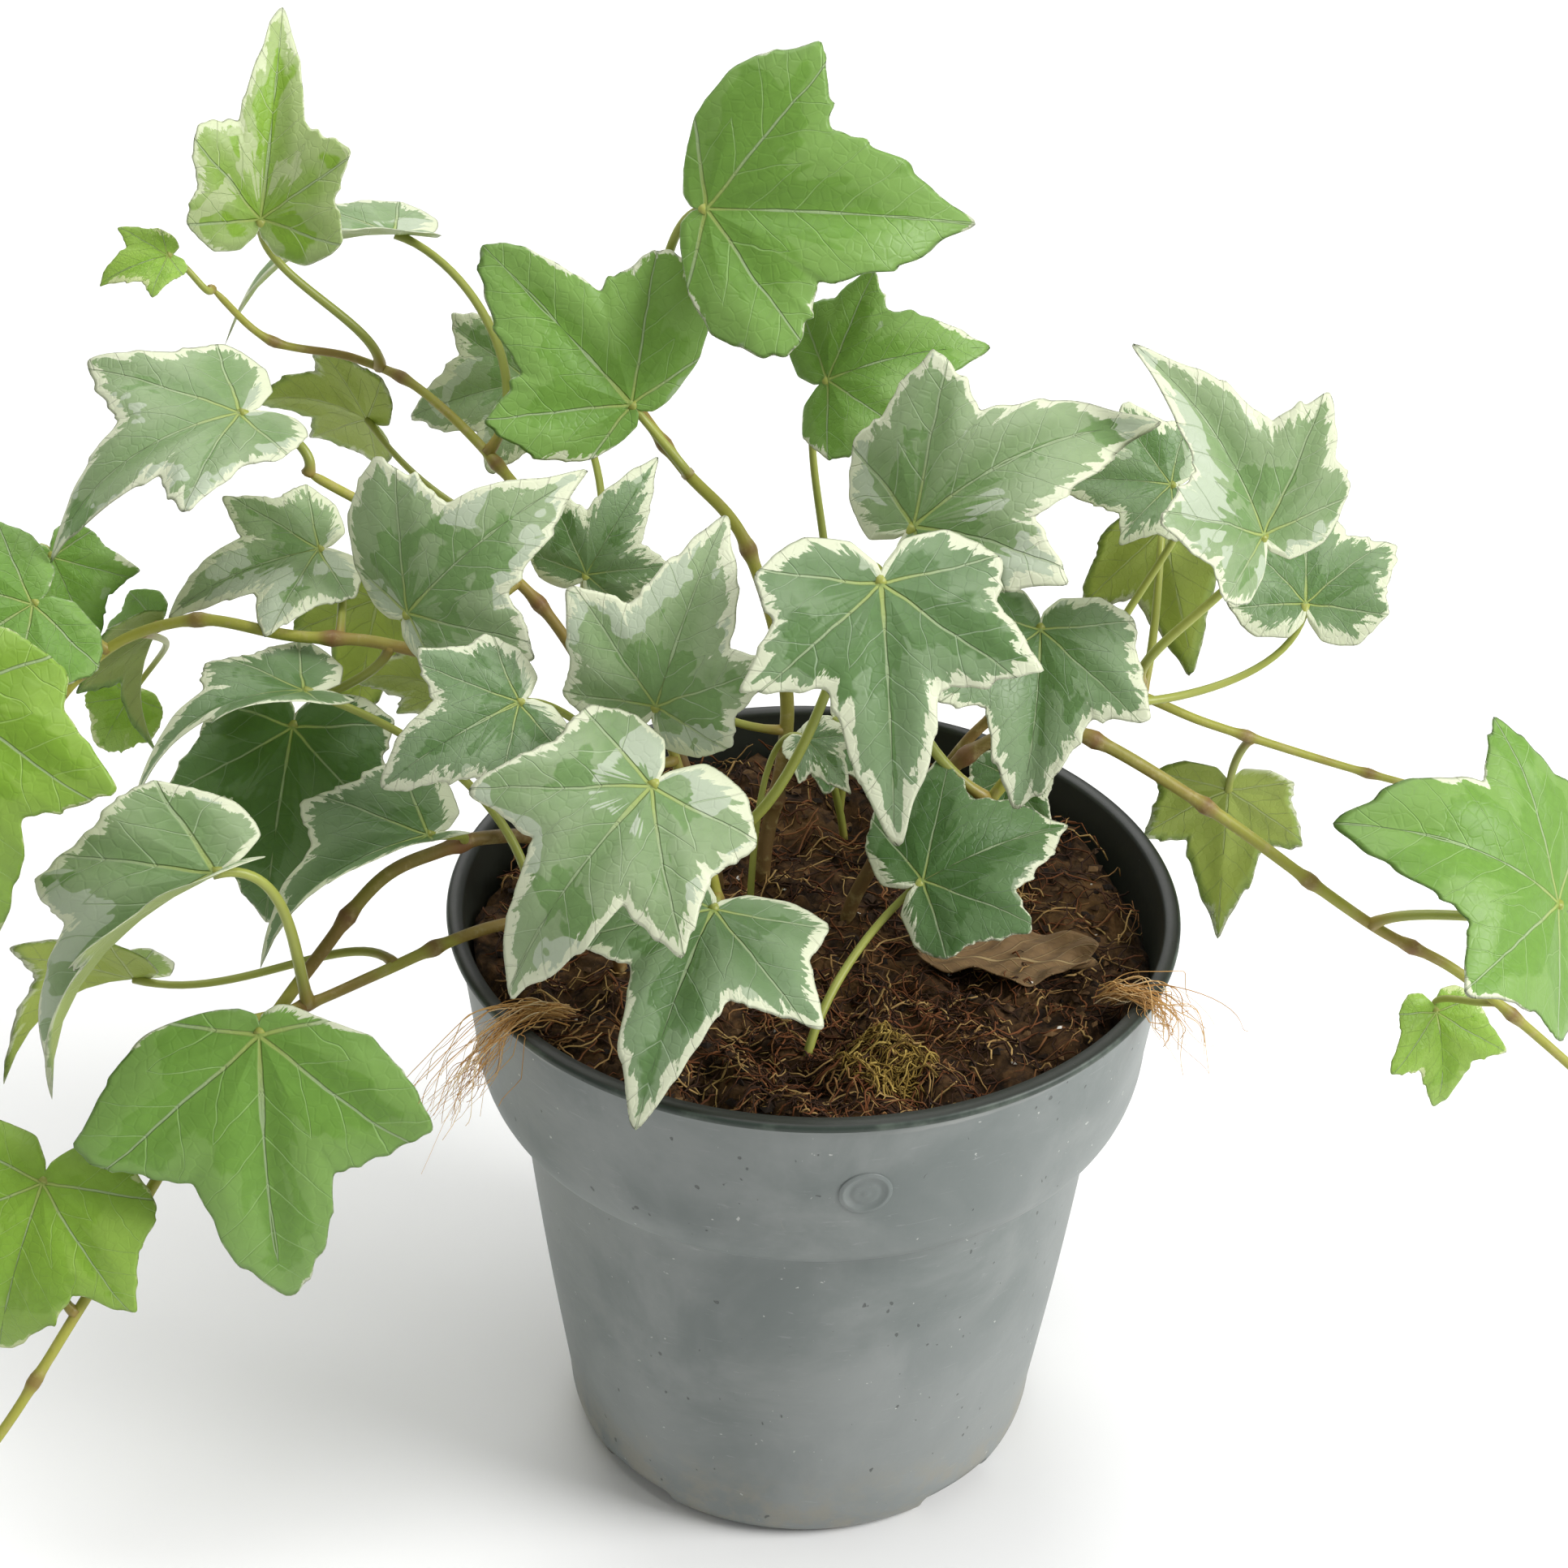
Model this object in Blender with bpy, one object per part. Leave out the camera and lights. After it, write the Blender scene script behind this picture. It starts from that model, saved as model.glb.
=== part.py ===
"""A potted variegated ivy: a plastic nursery pot, its soil, ten rooted vines and their leaves.

Everything is in metres with +Z up. The pot stands on z = 0 with its axis on the Z axis, and -Y is its
front. Vines and leaves are placed in millimetres from the centre of the soil's surface, so the plant
rises and sinks with the soil, and it spreads with the rim that it hangs over.
"""

import math

import bmesh
import bpy
import numpy as np
from mathutils import Vector

MM = 0.001
GAP = 0.0003  # kept between pieces that touch on the real plant

# The pot.
POT_HEIGHT = 0.100
RIM_RADIUS = 0.057
LIP_THICKNESS = 0.0015
COLLAR_TOP_RADIUS = RIM_RADIUS - 0.0015
COLLAR_WAIST_RADIUS = RIM_RADIUS - 0.0040
COLLAR_FOOT_RADIUS = RIM_RADIUS - 0.0095
COLLAR_HEIGHT = 0.0325  # from the rim down to the collar's lower edge
SHOULDER_HEIGHT = 0.0110  # the curved part of the collar, above its lower edge
BODY_TOP_RADIUS = RIM_RADIUS - 0.0108
BODY_FOOT_RADIUS = RIM_RADIUS - 0.0185
BASE_RADIUS = RIM_RADIUS - 0.0227
CORNER_HEIGHT = 0.0090  # the rounded corner between wall and base
WALL = 0.0012
FLOOR = 0.0015
POT_SEGMENTS = 48
DRAIN_COUNT = 4
DRAIN_WIDTH = 0.0130
DRAIN_HEIGHT = 0.0032
DRAIN_DEPTH = 0.0050  # how far a drain slot reaches in under the base
GATE_MARK_RADIUS = 0.0040
GATE_MARK_RELIEF = 0.0003
GATE_MARK_ANGLE = math.radians(-81)
GATE_MARK_DROP = 0.0150  # from the rim down to the middle of the mark

# The soil.
SOIL_DROP = 0.0060  # from the rim down to the soil
SOIL_SIDE_GAP = 0.0005
SOIL_EDGE_GAP = 0.0030  # the shrinkage gap round its top edge
SOIL_RELIEF = 0.0011
SOIL_SEGMENTS = 32
SOIL_RINGS = 4
ROOTED_DEPTH = 0.0080

# Stems and leaves.
VINE_SIDES = 6
VINE_STEP = 0.010
PETIOLE_SIDES = 4
PETIOLE_STEPS = 4
PETIOLE_RADIUS = 0.0005
PETIOLE_TAPER = 0.010  # how much thicker a stalk is for each unit of leaf length
BLADE = 0.0005
LEAF_GREEN = (0.10, 0.22, 0.07)
REFERENCE_RIM = 57.0  # the rim radius at which the plant's places below hold as written, in millimetres

SOIL_TOP = POT_HEIGHT - SOIL_DROP

# Reach of the blade's edge from its stalk, as a share of the leaf's length, at each angle in degrees
# from the midrib: tip, neck, side lobe, notch, basal lobe and the notch at the stalk.
OUTLINES = {
    "wide": ((0, 1.0), (14, 0.77), (32, 0.60), (55, 0.75), (78, 0.54), (98, 0.54), (124, 0.40),
             (152, 0.22), (172, 0.10)),
    "broad": ((0, 1.0), (14, 0.71), (31, 0.53), (55, 0.67), (78, 0.45), (98, 0.47), (124, 0.34),
              (152, 0.20), (172, 0.09)),
    "long": ((0, 1.0), (11, 0.73), (27, 0.49), (54, 0.66), (76, 0.42), (100, 0.45), (126, 0.32),
             (152, 0.19), (172, 0.08)),
    "arrow": ((0, 1.0), (9, 0.74), (22, 0.50), (44, 0.52), (70, 0.36), (102, 0.40), (128, 0.30),
              (152, 0.18), (172, 0.08)),
    "young": ((0, 1.0), (14, 0.72), (32, 0.58), (54, 0.74), (76, 0.46), (100, 0.40), (126, 0.31),
              (152, 0.20), (172, 0.09)),
    "square": ((0, 1.0), (14, 0.75), (29, 0.57), (57, 0.67), (80, 0.50), (100, 0.32), (128, 0.17),
               (152, 0.11), (172, 0.06)),
    "flat": ((0, 1.0), (12, 0.78), (31, 0.60), (64, 0.68), (78, 0.62), (88, 0.52), (106, 0.24), (140, 0.12),
             (172, 0.06)),
    "oval": ((0, 1.0), (18, 0.88), (38, 0.75), (58, 0.68), (78, 0.61), (100, 0.51), (126, 0.36),
             (152, 0.21), (172, 0.10)),
}
INNER_RING = 0.5

# Each vine's radius at its root and at its tip, and its course. Heights are above the soil.
VINES = {
    "vine_crown": (1.3, 0.6, ((-16, 12, -8), (-16, 12, 4), (-26, 20, 30), (-46, 34, 56), (-62, 45, 68),
                              (-74, 50, 72), (-87, 48, 76), (-95, 45, 86))),
    "vine_back": (1.4, 0.9, ((-8, 14, -8), (-8, 14, 4), (-5, 20, 30), (-12, 26, 54), (-22, 32, 64),
                             (-32, 40, 74))),
    "vine_left_upper": (1.2, 0.8, ((-22, 4, -8), (-22, 4, 4), (-34, 10, 36), (-46, 14, 53),
                                   (-58, 15, 60), (-70, 17, 65), (-78, 18, 69))),
    "vine_left_middle": (1.3, 0.8, ((-24, -4, -8), (-24, -4, 4), (-36, 0, 30), (-50, 4, 42),
                                    (-66, 4, 48), (-80, 4, 49), (-94, 6, 50), (-106, 8, 45),
                                    (-114, 6, 38), (-120, -2, 30), (-124, -10, 26))),
    "vine_left_rim": (1.2, 0.8, ((-30, -12, -8), (-30, -12, 3), (-37, -13, 9), (-46, -16, 11),
                                 (-55, -21, 11), (-65, -27, 9), (-76, -32, 6), (-85, -36, 6))),
    "vine_trailing": (1.3, 0.8, ((-32, 0, -8), (-32, 0, 4), (-41, -3, 17), (-50, -6, 20),
                                 (-57, -10, 20), (-65, -15, 18), (-73, -22, 10), (-82, -31, 1),
                                 (-95, -42, -15), (-107, -52, -33), (-116, -62, -46),
                                 (-127, -72, -58))),
    "vine_right_main": (1.3, 0.8, ((6, 2, -8), (6, 2, 4), (16, 5, 22), (28, 8, 32), (40, 8, 33),
                                   (62, 6, 20), (88, 4, 1), (103, 4, -8), (122, 2, -24),
                                   (135, 0, -37))),
    "vine_right_upper": (1.1, 0.6, ((12, 14, -8), (12, 14, 4), (24, 17, 26), (36, 17, 35),
                                    (47, 16, 36), (60, 15, 31), (76, 16, 25), (99, 18, 17))),
    "vine_right_crown": (1.2, 0.9, ((18, -4, -8), (18, -4, 4), (24, -2, 22), (33, 0, 35), (42, 2, 42),
                                    (48, 4, 45))),
    "vine_front": (1.3, 0.8, ((-14, -12, -8), (-14, -12, 4), (-15, -13, 16), (-19, -11, 30),
                              (-23, -8, 42))),
}

# Each leaf: where its stalk starts (a vine and the share of its course, or a place in the soil), where
# the stalk meets the blade, where the tip is, the direction that its upper side faces (degrees round
# from +X and above the horizon), its outline, how far its halves fold up and how much it arches.
LEAVES = {
    "leaf_tall": ("vine_crown", 0.78, (-87, 45, 98), (-84, 60, 126), (-80, 20), "arrow", 30, 0.10),
    "leaf_outer_small": ("vine_crown", 1.0, (-101, 42, 93), (-111, 38, 90), (-110, 40),
                       "young", 15, 0.1),
    "leaf_arched": ("vine_crown", 0.62, (-68, 58, 90), (-96, 50, 76), (90, 75), "arrow", 20, 0.15),
    "leaf_backlit": ("vine_crown", 0.52, (-74, 62, 55), (-93, 64, 58), (80, 20), "wide", 10, 0.10),
    "leaf_left_long": ("vine_left_upper", 1.0, (-88, 20, 78), (-116, 8, 61), (-95, 78),
                       "long", 10, 0.15),
    "leaf_edge_upper": ("vine_left_middle", 0.80, (-118, 3, 54), (-138, -4, 39), (-100, 45),
                       "wide", 5, 0.1),
    "leaf_edge_lower": ("vine_left_middle", 1.0, (-127, -26, 56), (-121, -36, 18), (-90, 40),
                       "broad", 10, 0.15),
    "leaf_dark_left": ("vine_left_middle", 0.90, (-119, 24, 50), (-114, 24, 32), (-70, 30),
                       "young", 5, 0.1),
    "leaf_oval": ("vine_left_middle", 0.76, (-110, 30, 21), (-115, 28, 12), (-90, 30),
                       "oval", 5, 0.1),
    "leaf_narrow": ("vine_left_middle", 0.74, (-103, 22, 39), (-106, 21, 17), (175, 10),
                       "long", 50, 0.1),
    "leaf_grey": ("vine_left_middle", 0.55, (-77, 18, 56), (-100, 12, 48), (-105, 55),
                       "long", 15, 0.1),
    "leaf_big": ("vine_left_upper", 0.66, (-62, 3, 54), (-38, 9, 75), (-95, 45),
                       "square", 10, 0.12),
    "leaf_dark_middle": ("vine_back", 0.35, (-36, 16, 54), (-26, 23, 70), (-85, 40),
                       "broad", 10, 0.1),
    "leaf_bright": ("vine_back", 0.82, (-30, 32, 75), (-53, 39, 98), (-90, 35), "square", 5, 0.08),
    "leaf_behind": ("vine_crown", 0.45, (-47, 52, 68), (-66, 51, 62), (-95, 35), "wide", 15, 0.1),
    "leaf_top": ("vine_back", 1.0, (-19, 38, 105), (20, 36, 105), (-85, 30), "square", 10, 0.1),
    "leaf_upright": ("vine_back", 0.45, (0, 30, 81), (23, 30, 88), (-90, 50), "wide", 10, 0.1),
    "leaf_grey_big": ("vine_right_crown", 0.55, (13, 0, 73), (47, 8, 88), (-90, 64),
                       "broad", 10, 0.15),
    "leaf_centre": ("vine_front", 0.62, (8, -17, 73), (11, -35, 41), (-90, 45), "long", 5, 0.15),
    "leaf_centre_upper": ("vine_front", 1.0, (-24, -18, 52), (-15, -6, 77), (-92, 40),
                       "broad", 15, 0.1),
    "leaf_front_left": ("vine_front", 0.80, (-24, -33, 48), (-45, -47, 21), (-95, 50),
                       "long", 5, 0.15),
    "leaf_front": ("vine_front", 0.45, (-15, -32, 26), (-25, -59, 7), (-90, 55), "long", 5, 0.20),
    "leaf_low_right": ((-1, -34), 0, (16, -16, 21), (38, -5, 25), (-95, 55), "wide", 5, 0.10),
    "leaf_right": ("vine_right_crown", 0.75, (32, -5, 59), (30, -20, 37), (-80, 45),
                       "wide", 20, 0.12),
    "leaf_right_grey": ("vine_right_crown", 1.0, (64, 0, 73), (46, 8, 99), (-65, 45),
                       "broad", 25, 0.1),
    "leaf_right_inner": ("vine_right_upper", 0.50, (52, 20, 70), (33, 22, 69), (-90, 45),
                       "broad", 10, 0.1),
    "leaf_right_dark": ("vine_right_crown", 0.92, (74, 18, 51), (74, 40, 58), (-85, 65),
                       "wide", 10, 0.15),
    "leaf_right_backlit": ("vine_right_upper", 0.56, (53, 33, 55), (59, 30, 32), (95, 10),
                       "young", 10, 0.1),
    "leaf_right_hanging": ("vine_right_upper", 0.72, (66, 25, 12), (66, 21, -12), (85, 5),
                       "broad", 10, 0.1),
    "leaf_far_right": ("vine_right_main", 0.66, (114, -6, 13), (79, -9, 30), (-90, 60),
                       "wide", 5, 0.15),
    "leaf_far_right_small": ("vine_right_main", 0.80, (101, 10, -20), (103, 6, -37), (-70, 30),
                       "young", 10, 0.1),
    "leaf_inner_small": ((-10, 2), 0, (-2, 4, 33), (5, -1, 27), (-90, 50), "young", 10, 0.1),
    "leaf_inner_dark": ((5, 28), 0, (3, 22, 25), (16, 13, 16), (-85, 50), "broad", 10, 0.1),
    "leaf_white_edge": ("vine_left_rim", 0.35, (-77, -5, 45), (-103, -14, 33), (75, 80),
                       "arrow", 20, 0.15),
    "leaf_left_dark": ("vine_left_middle", 0.50, (-80, 2, 34), (-84, -12, 7), (-88, 36),
                       "broad", 5, 0.1),
    "leaf_left_hanging": ("vine_left_rim", 0.85, (-87, -36, 33), (-113, -44, -2), (-160, 45),
                       "arrow", 45, 0.15),
    "leaf_left_folded": ("vine_trailing", 0.25, (-58, -16, 27), (-84, -24, 9), (-150, 50),
                       "arrow", 45, 0.15),
    "leaf_left_centre": ("vine_front", 0.90, (-44, -18, 52), (-64, -25, 41), (-95, 45),
                       "broad", 10, 0.12),
    "leaf_left_pale": ("vine_left_middle", 0.36, (-56, 10, 36), (-72, 8, 40), (90, 15),
                       "young", 5, 0.1),
    "leaf_left_inner": ("vine_left_upper", 0.72, (-69, 24, 44), (-73, 19, 23), (90, 10),
                       "broad", 10, 0.1),
    "leaf_lower_left": ("vine_left_rim", 1.0, (-81, -41, 8), (-78, -54, -33), (-92, 40),
                       "flat", 5, 0.1),
    "leaf_corner": ("vine_trailing", 0.80, (-114, -46, -17), (-122, -54, -44), (-88, 40),
                       "wide", 5, 0.1),
    "leaf_pale_left": ("vine_left_rim", 0.66, (-103, -20, 2), (-124, -26, -12), (60, 50),
                       "broad", 35, 0.15),
    "leaf_right_low_dark": ((24, 18), 0, (30, 12, 22), (27, 6, 9), (-90, 50), "broad", 5, 0.1),
    "leaf_rear": ((4, 36), 0, (10, 46, 24), (14, 66, 5), (75, 50), "broad", 5, 0.2),
}

DEAD_LEAF_LENGTH = 0.027
DEAD_LEAF_WIDTH = 0.014
DEAD_LEAF_CENTRE = (30, -9, 0)  # a plant place, in millimetres
DEAD_LEAF_LIFT = 0.0018
DEAD_LEAF_CURL = 0.0022
DEAD_LEAF_STEPS = 6

# Loose roots that hang out over the rim: their direction in degrees, the radius at the root and at the
# end, the points before the lip and the points beyond it. A point is (outwards, above the rim) in
# millimetres; outwards counts from the collar's inner wall before the lip and from the rim beyond it.
ROOT_TUFTS = {
    "root_tuft_left": (-142, 1.0, 0.5, ((-7, -1.6), (-2, 1.8)), ((1, 2.6), (7, 0), (12, -5), (17, -11))),
    "root_tuft_right": (-26, 0.9, 0.5, ((-5, -1.6), (-1, 1.6)), ((0.5, 2.2), (4, 0.4), (7, -4))),
}
TUFT_STEP = 0.004


def clear_scene():
    for thing in list(bpy.data.objects):
        bpy.data.objects.remove(thing, do_unlink=True)


def principled(name, colour, roughness):
    material = bpy.data.materials.new(name)
    material.use_nodes = True
    shader = material.node_tree.nodes["Principled BSDF"]
    shader.inputs["Base Color"].default_value = (*colour, 1.0)
    shader.inputs["Roughness"].default_value = roughness
    shader.inputs["Metallic"].default_value = 0.0
    material.diffuse_color = (*colour, 1.0)
    return material


def add_object(name, mesh, material, smooth=True):
    thing = bpy.data.objects.new(name, mesh)
    bpy.context.scene.collection.objects.link(thing)
    mesh.materials.append(material)
    mesh.polygons.foreach_set("use_smooth", np.full(len(mesh.polygons), smooth))
    return thing


def mesh_from(name, points, faces):
    """A mesh of these points and faces, with its normals turned outwards."""
    mesh = bpy.data.meshes.new(name)
    mesh.from_pydata([tuple(point) for point in points], [], faces)
    shape = bmesh.new()
    shape.from_mesh(mesh)
    bmesh.ops.recalc_face_normals(shape, faces=shape.faces)
    shape.to_mesh(mesh)
    shape.free()
    return mesh


def helper(name, mesh):
    """A cutter or a joined-on shape, which isn't a part of its own."""
    thing = bpy.data.objects.new(name, mesh)
    bpy.context.scene.collection.objects.link(thing)
    thing.hide_render = True
    thing.display_type = "WIRE"
    return thing


def boolean(thing, other, operation, solver="EXACT"):
    modifier = thing.modifiers.new(other.name, "BOOLEAN")
    modifier.operation = operation
    modifier.object = other
    modifier.solver = solver


def placed(point):
    """A plant point in metres: moved out with the rim, and up from the soil."""
    x, y, z = point
    reach = math.hypot(x, y)
    growth = RIM_RADIUS / MM - REFERENCE_RIM
    spread = 1 + growth / max(reach, REFERENCE_RIM)
    return Vector((x * spread * MM, y * spread * MM, SOIL_TOP + z * MM))


def smooth_course(corners, step):
    """Points about one step apart on a Catmull-Rom curve through the corners."""
    corners = [corners[0] * 2 - corners[1], *corners, corners[-1] * 2 - corners[-2]]
    course = [corners[1]]
    for a, b, c, d in zip(corners, corners[1:], corners[2:], corners[3:]):
        count = max(1, round((c - b).length / step))
        for number in range(1, count + 1):
            t = number / count
            course.append(0.5 * (2 * b + (c - a) * t + (2 * a - 5 * b + 4 * c - d) * t**2
                                 + (3 * b - 3 * c + d - a) * t**3))
    return course


def along(course, share):
    """The point and the direction at a share of the course's length."""
    lengths = np.cumsum([0.0] + [(b - a).length for a, b in zip(course, course[1:])])
    place = share * lengths[-1]
    number = min(int(np.searchsorted(lengths, place, side="right")), len(course) - 1)
    start, end = course[number - 1], course[number]
    part = (place - lengths[number - 1]) / (lengths[number] - lengths[number - 1])
    return start.lerp(end, part), (end - start).normalized()


def tube(course, radii, sides):
    """Points and faces of a closed tube whose rings don't twist."""
    points, faces = [], []
    side = (course[1] - course[0]).orthogonal().normalized()
    for number, centre in enumerate(course):
        before = course[max(number - 1, 0)]
        after = course[min(number + 1, len(course) - 1)]
        forward = (after - before).normalized()
        side = (side - forward * side.dot(forward)).normalized()
        other = forward.cross(side)
        for corner in range(sides):
            turn = 2 * math.pi * corner / sides
            points.append(centre + (side * math.cos(turn) + other * math.sin(turn)) * radii[number])
    for number in range(len(course) - 1):
        for corner in range(sides):
            a = number * sides + corner
            b = number * sides + (corner + 1) % sides
            faces.append((a, b, b + sides, a + sides))
    last = (len(course) - 1) * sides
    faces.append(tuple(reversed(range(sides))))
    faces.append(tuple(range(last, last + sides)))
    return points, faces


# Pot.


def pot_outside():
    """The pot's outer profile, from the middle of the base to the lip, as (radius, height)."""
    collar_foot = POT_HEIGHT - COLLAR_HEIGHT
    profile = [(0.0, 0.0), (BASE_RADIUS, 0.0)]
    for number in range(1, 5):
        turn = math.radians(90 * number / 4)
        profile.append((BASE_RADIUS + (BODY_FOOT_RADIUS - BASE_RADIUS) * math.sin(turn),
                        CORNER_HEIGHT * (1 - math.cos(turn))))
    profile.append((BODY_TOP_RADIUS, collar_foot))
    for number in range(4):
        turn = math.radians(90 * number / 3)
        profile.append((COLLAR_FOOT_RADIUS + (COLLAR_WAIST_RADIUS - COLLAR_FOOT_RADIUS) * math.sin(turn),
                        collar_foot + SHOULDER_HEIGHT * (1 - math.cos(turn))))
    profile.append((COLLAR_TOP_RADIUS, POT_HEIGHT - LIP_THICKNESS))
    profile.append((RIM_RADIUS, POT_HEIGHT - LIP_THICKNESS))
    profile.append((RIM_RADIUS, POT_HEIGHT))
    return profile


def pot_inside():
    """The pot's inner profile, from the lip down to the middle of the floor."""
    collar_foot = POT_HEIGHT - COLLAR_HEIGHT
    return [
        (COLLAR_TOP_RADIUS - WALL, POT_HEIGHT),
        (COLLAR_WAIST_RADIUS - WALL, collar_foot + SHOULDER_HEIGHT),
        (BODY_TOP_RADIUS - WALL, collar_foot - WALL),
        (BODY_FOOT_RADIUS - WALL, CORNER_HEIGHT + FLOOR),
        (BASE_RADIUS - WALL, FLOOR),
        (0.0, FLOOR),
    ]


def spun(name, profile, segments):
    """The profile turned round the Z axis."""
    shape = bmesh.new()
    corners = [shape.verts.new((radius, 0.0, height)) for radius, height in profile]
    edges = [shape.edges.new(pair) for pair in zip(corners, corners[1:])]
    bmesh.ops.spin(shape, geom=corners + edges, cent=(0, 0, 0), axis=(0, 0, 1), dvec=(0, 0, 0),
                   angle=2 * math.pi, steps=segments, use_merge=True, use_duplicate=False)
    bmesh.ops.remove_doubles(shape, verts=shape.verts, dist=1e-6)
    bmesh.ops.recalc_face_normals(shape, faces=shape.faces)
    mesh = bpy.data.meshes.new(name)
    shape.to_mesh(mesh)
    shape.free()
    return mesh


def make_pot():
    pot = add_object("pot", spun("pot", pot_outside() + pot_inside(), POT_SEGMENTS),
                     principled("pot_plastic", (0.13, 0.18, 0.18), 0.5))
    for number in range(DRAIN_COUNT):
        turn = 2 * math.pi * (number + 0.5) / DRAIN_COUNT
        shape = bmesh.new()
        bmesh.ops.create_cube(shape, size=1.0)
        mesh = bpy.data.meshes.new("drain")
        shape.to_mesh(mesh)
        shape.free()
        cutter = helper(f"drain_{number + 1}", mesh)
        cutter.scale = (2 * DRAIN_DEPTH, DRAIN_WIDTH, 2 * DRAIN_HEIGHT)
        cutter.rotation_euler.z = turn
        cutter.location = (BASE_RADIUS * math.cos(turn), BASE_RADIUS * math.sin(turn), 0)
        boolean(pot, cutter, "DIFFERENCE")
    shape = bmesh.new()
    bmesh.ops.create_cone(shape, cap_ends=True, segments=16, radius1=GATE_MARK_RADIUS,
                          radius2=GATE_MARK_RADIUS, depth=WALL)
    mesh = bpy.data.meshes.new("gate_mark")
    shape.to_mesh(mesh)
    shape.free()
    mark = helper("gate_mark", mesh)
    height = POT_HEIGHT - GATE_MARK_DROP
    share = (height - (POT_HEIGHT - COLLAR_HEIGHT + SHOULDER_HEIGHT)) / (COLLAR_HEIGHT - SHOULDER_HEIGHT)
    wall_radius = COLLAR_WAIST_RADIUS + (COLLAR_TOP_RADIUS - COLLAR_WAIST_RADIUS) * share
    reach = wall_radius + GATE_MARK_RELIEF - WALL / 2
    mark.location = (reach * math.cos(GATE_MARK_ANGLE), reach * math.sin(GATE_MARK_ANGLE), height)
    mark.rotation_euler = (0, math.pi / 2, GATE_MARK_ANGLE)
    boolean(pot, mark, "UNION")
    return pot


# Soil.


def wall_inside(height):
    """The pot's inner radius at a height."""
    profile = sorted((level, radius) for radius, level in pot_inside()[:-1])
    levels, radii = zip(*profile)
    return float(np.interp(height, levels, radii))


def soil_height(x, y):
    """The soil's surface: a few low swells."""
    waves = (math.sin(x / 0.011 + 1.0) * math.cos(y / 0.009)
             + 0.5 * math.sin(x / 0.006 - y / 0.008 + 2.0))
    return SOIL_TOP + SOIL_RELIEF * waves / 1.5


def make_soil(cutters):
    top_radius = wall_inside(SOIL_TOP) - SOIL_EDGE_GAP
    deep = POT_HEIGHT - COLLAR_HEIGHT
    levels = [SOIL_TOP - 0.004, deep + SHOULDER_HEIGHT, deep - WALL, CORNER_HEIGHT + FLOOR, FLOOR + GAP]
    points, faces = [Vector((0, 0, soil_height(0, 0)))], []
    for ring in range(1, SOIL_RINGS + 1):
        for number in range(SOIL_SEGMENTS):
            turn = 2 * math.pi * number / SOIL_SEGMENTS
            x = top_radius * ring / SOIL_RINGS * math.cos(turn)
            y = top_radius * ring / SOIL_RINGS * math.sin(turn)
            points.append(Vector((x, y, soil_height(x, y))))
    for level in levels:
        radius = (wall_inside(level) - SOIL_SIDE_GAP) * math.cos(math.pi / POT_SEGMENTS)
        for number in range(SOIL_SEGMENTS):
            turn = 2 * math.pi * number / SOIL_SEGMENTS
            points.append(Vector((radius * math.cos(turn), radius * math.sin(turn), level)))
    rings = SOIL_RINGS + len(levels)
    for number in range(SOIL_SEGMENTS):
        after = (number + 1) % SOIL_SEGMENTS
        faces.append((0, 1 + number, 1 + after))
        for ring in range(rings - 1):
            a = 1 + ring * SOIL_SEGMENTS
            faces.append((a + number, a + SOIL_SEGMENTS + number, a + SOIL_SEGMENTS + after, a + after))
    last = 1 + (rings - 1) * SOIL_SEGMENTS
    faces.append(tuple(range(last, last + SOIL_SEGMENTS)))
    soil = add_object("soil", mesh_from("soil", points, faces),
                      principled("potting_soil", (0.05, 0.025, 0.012), 0.95), smooth=False)
    for cutter in cutters:
        boolean(soil, cutter, "DIFFERENCE")
    return soil


def socket(name, place, radius):
    """A cutter for the hole in the soil that a stem of this radius stands in."""
    shape = bmesh.new()
    depth = 2 * (ROOTED_DEPTH + GAP)
    bmesh.ops.create_cone(shape, cap_ends=True, segments=8, depth=depth,
                          radius1=radius + 2 * GAP, radius2=radius + 2 * GAP)
    mesh = bpy.data.meshes.new(name)
    shape.to_mesh(mesh)
    shape.free()
    cutter = helper(name, mesh)
    cutter.location = (place.x, place.y, SOIL_TOP)
    return cutter


def make_dead_leaf():
    """A dry, curled leaf that lies on the soil."""
    points, faces = [], []
    centre = placed(DEAD_LEAF_CENTRE)
    across = DEAD_LEAF_STEPS // 2
    for i in range(DEAD_LEAF_STEPS + 1):
        s = 2 * i / DEAD_LEAF_STEPS - 1
        half_width = 0.5 * DEAD_LEAF_WIDTH * math.sqrt(1.06 - s * s)
        for j in range(across + 1):
            t = 2 * j / across - 1
            x = centre.x + 0.5 * DEAD_LEAF_LENGTH * s
            y = centre.y + half_width * t
            z = soil_height(x, y) + DEAD_LEAF_LIFT + DEAD_LEAF_CURL * (0.5 * s * s + 0.5 * t * t)
            points.append(Vector((x, y, z)))
    for i in range(DEAD_LEAF_STEPS):
        for j in range(across):
            a = i * (across + 1) + j
            faces.append((a, a + across + 1, a + across + 2, a + 1))
    leaf = add_object("dead_leaf", mesh_from("dead_leaf", points, faces),
                      principled("dead_leaf", (0.22, 0.11, 0.04), 0.8))
    thicken(leaf)
    return leaf


# Stems and leaves.


def thicken(thing):
    solid = thing.modifiers.new("thickness", "SOLIDIFY")
    solid.thickness = BLADE
    solid.offset = 0.0


def blade_point(angle, reach, length, fold, arch):
    """A point of the blade in its own frame: along the midrib, to the left of it and upwards.

    The halves tilt up from the midrib by the fold angle, and the midrib arches over its chord.
    """
    forward = reach * math.cos(angle)
    aside = reach * math.sin(angle)
    rise = 4 * arch * forward * (1 - forward) - 0.25 * arch * aside * aside
    return (forward * length, aside * math.cos(fold) * length,
            (rise + abs(aside) * math.sin(fold)) * length)


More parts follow.
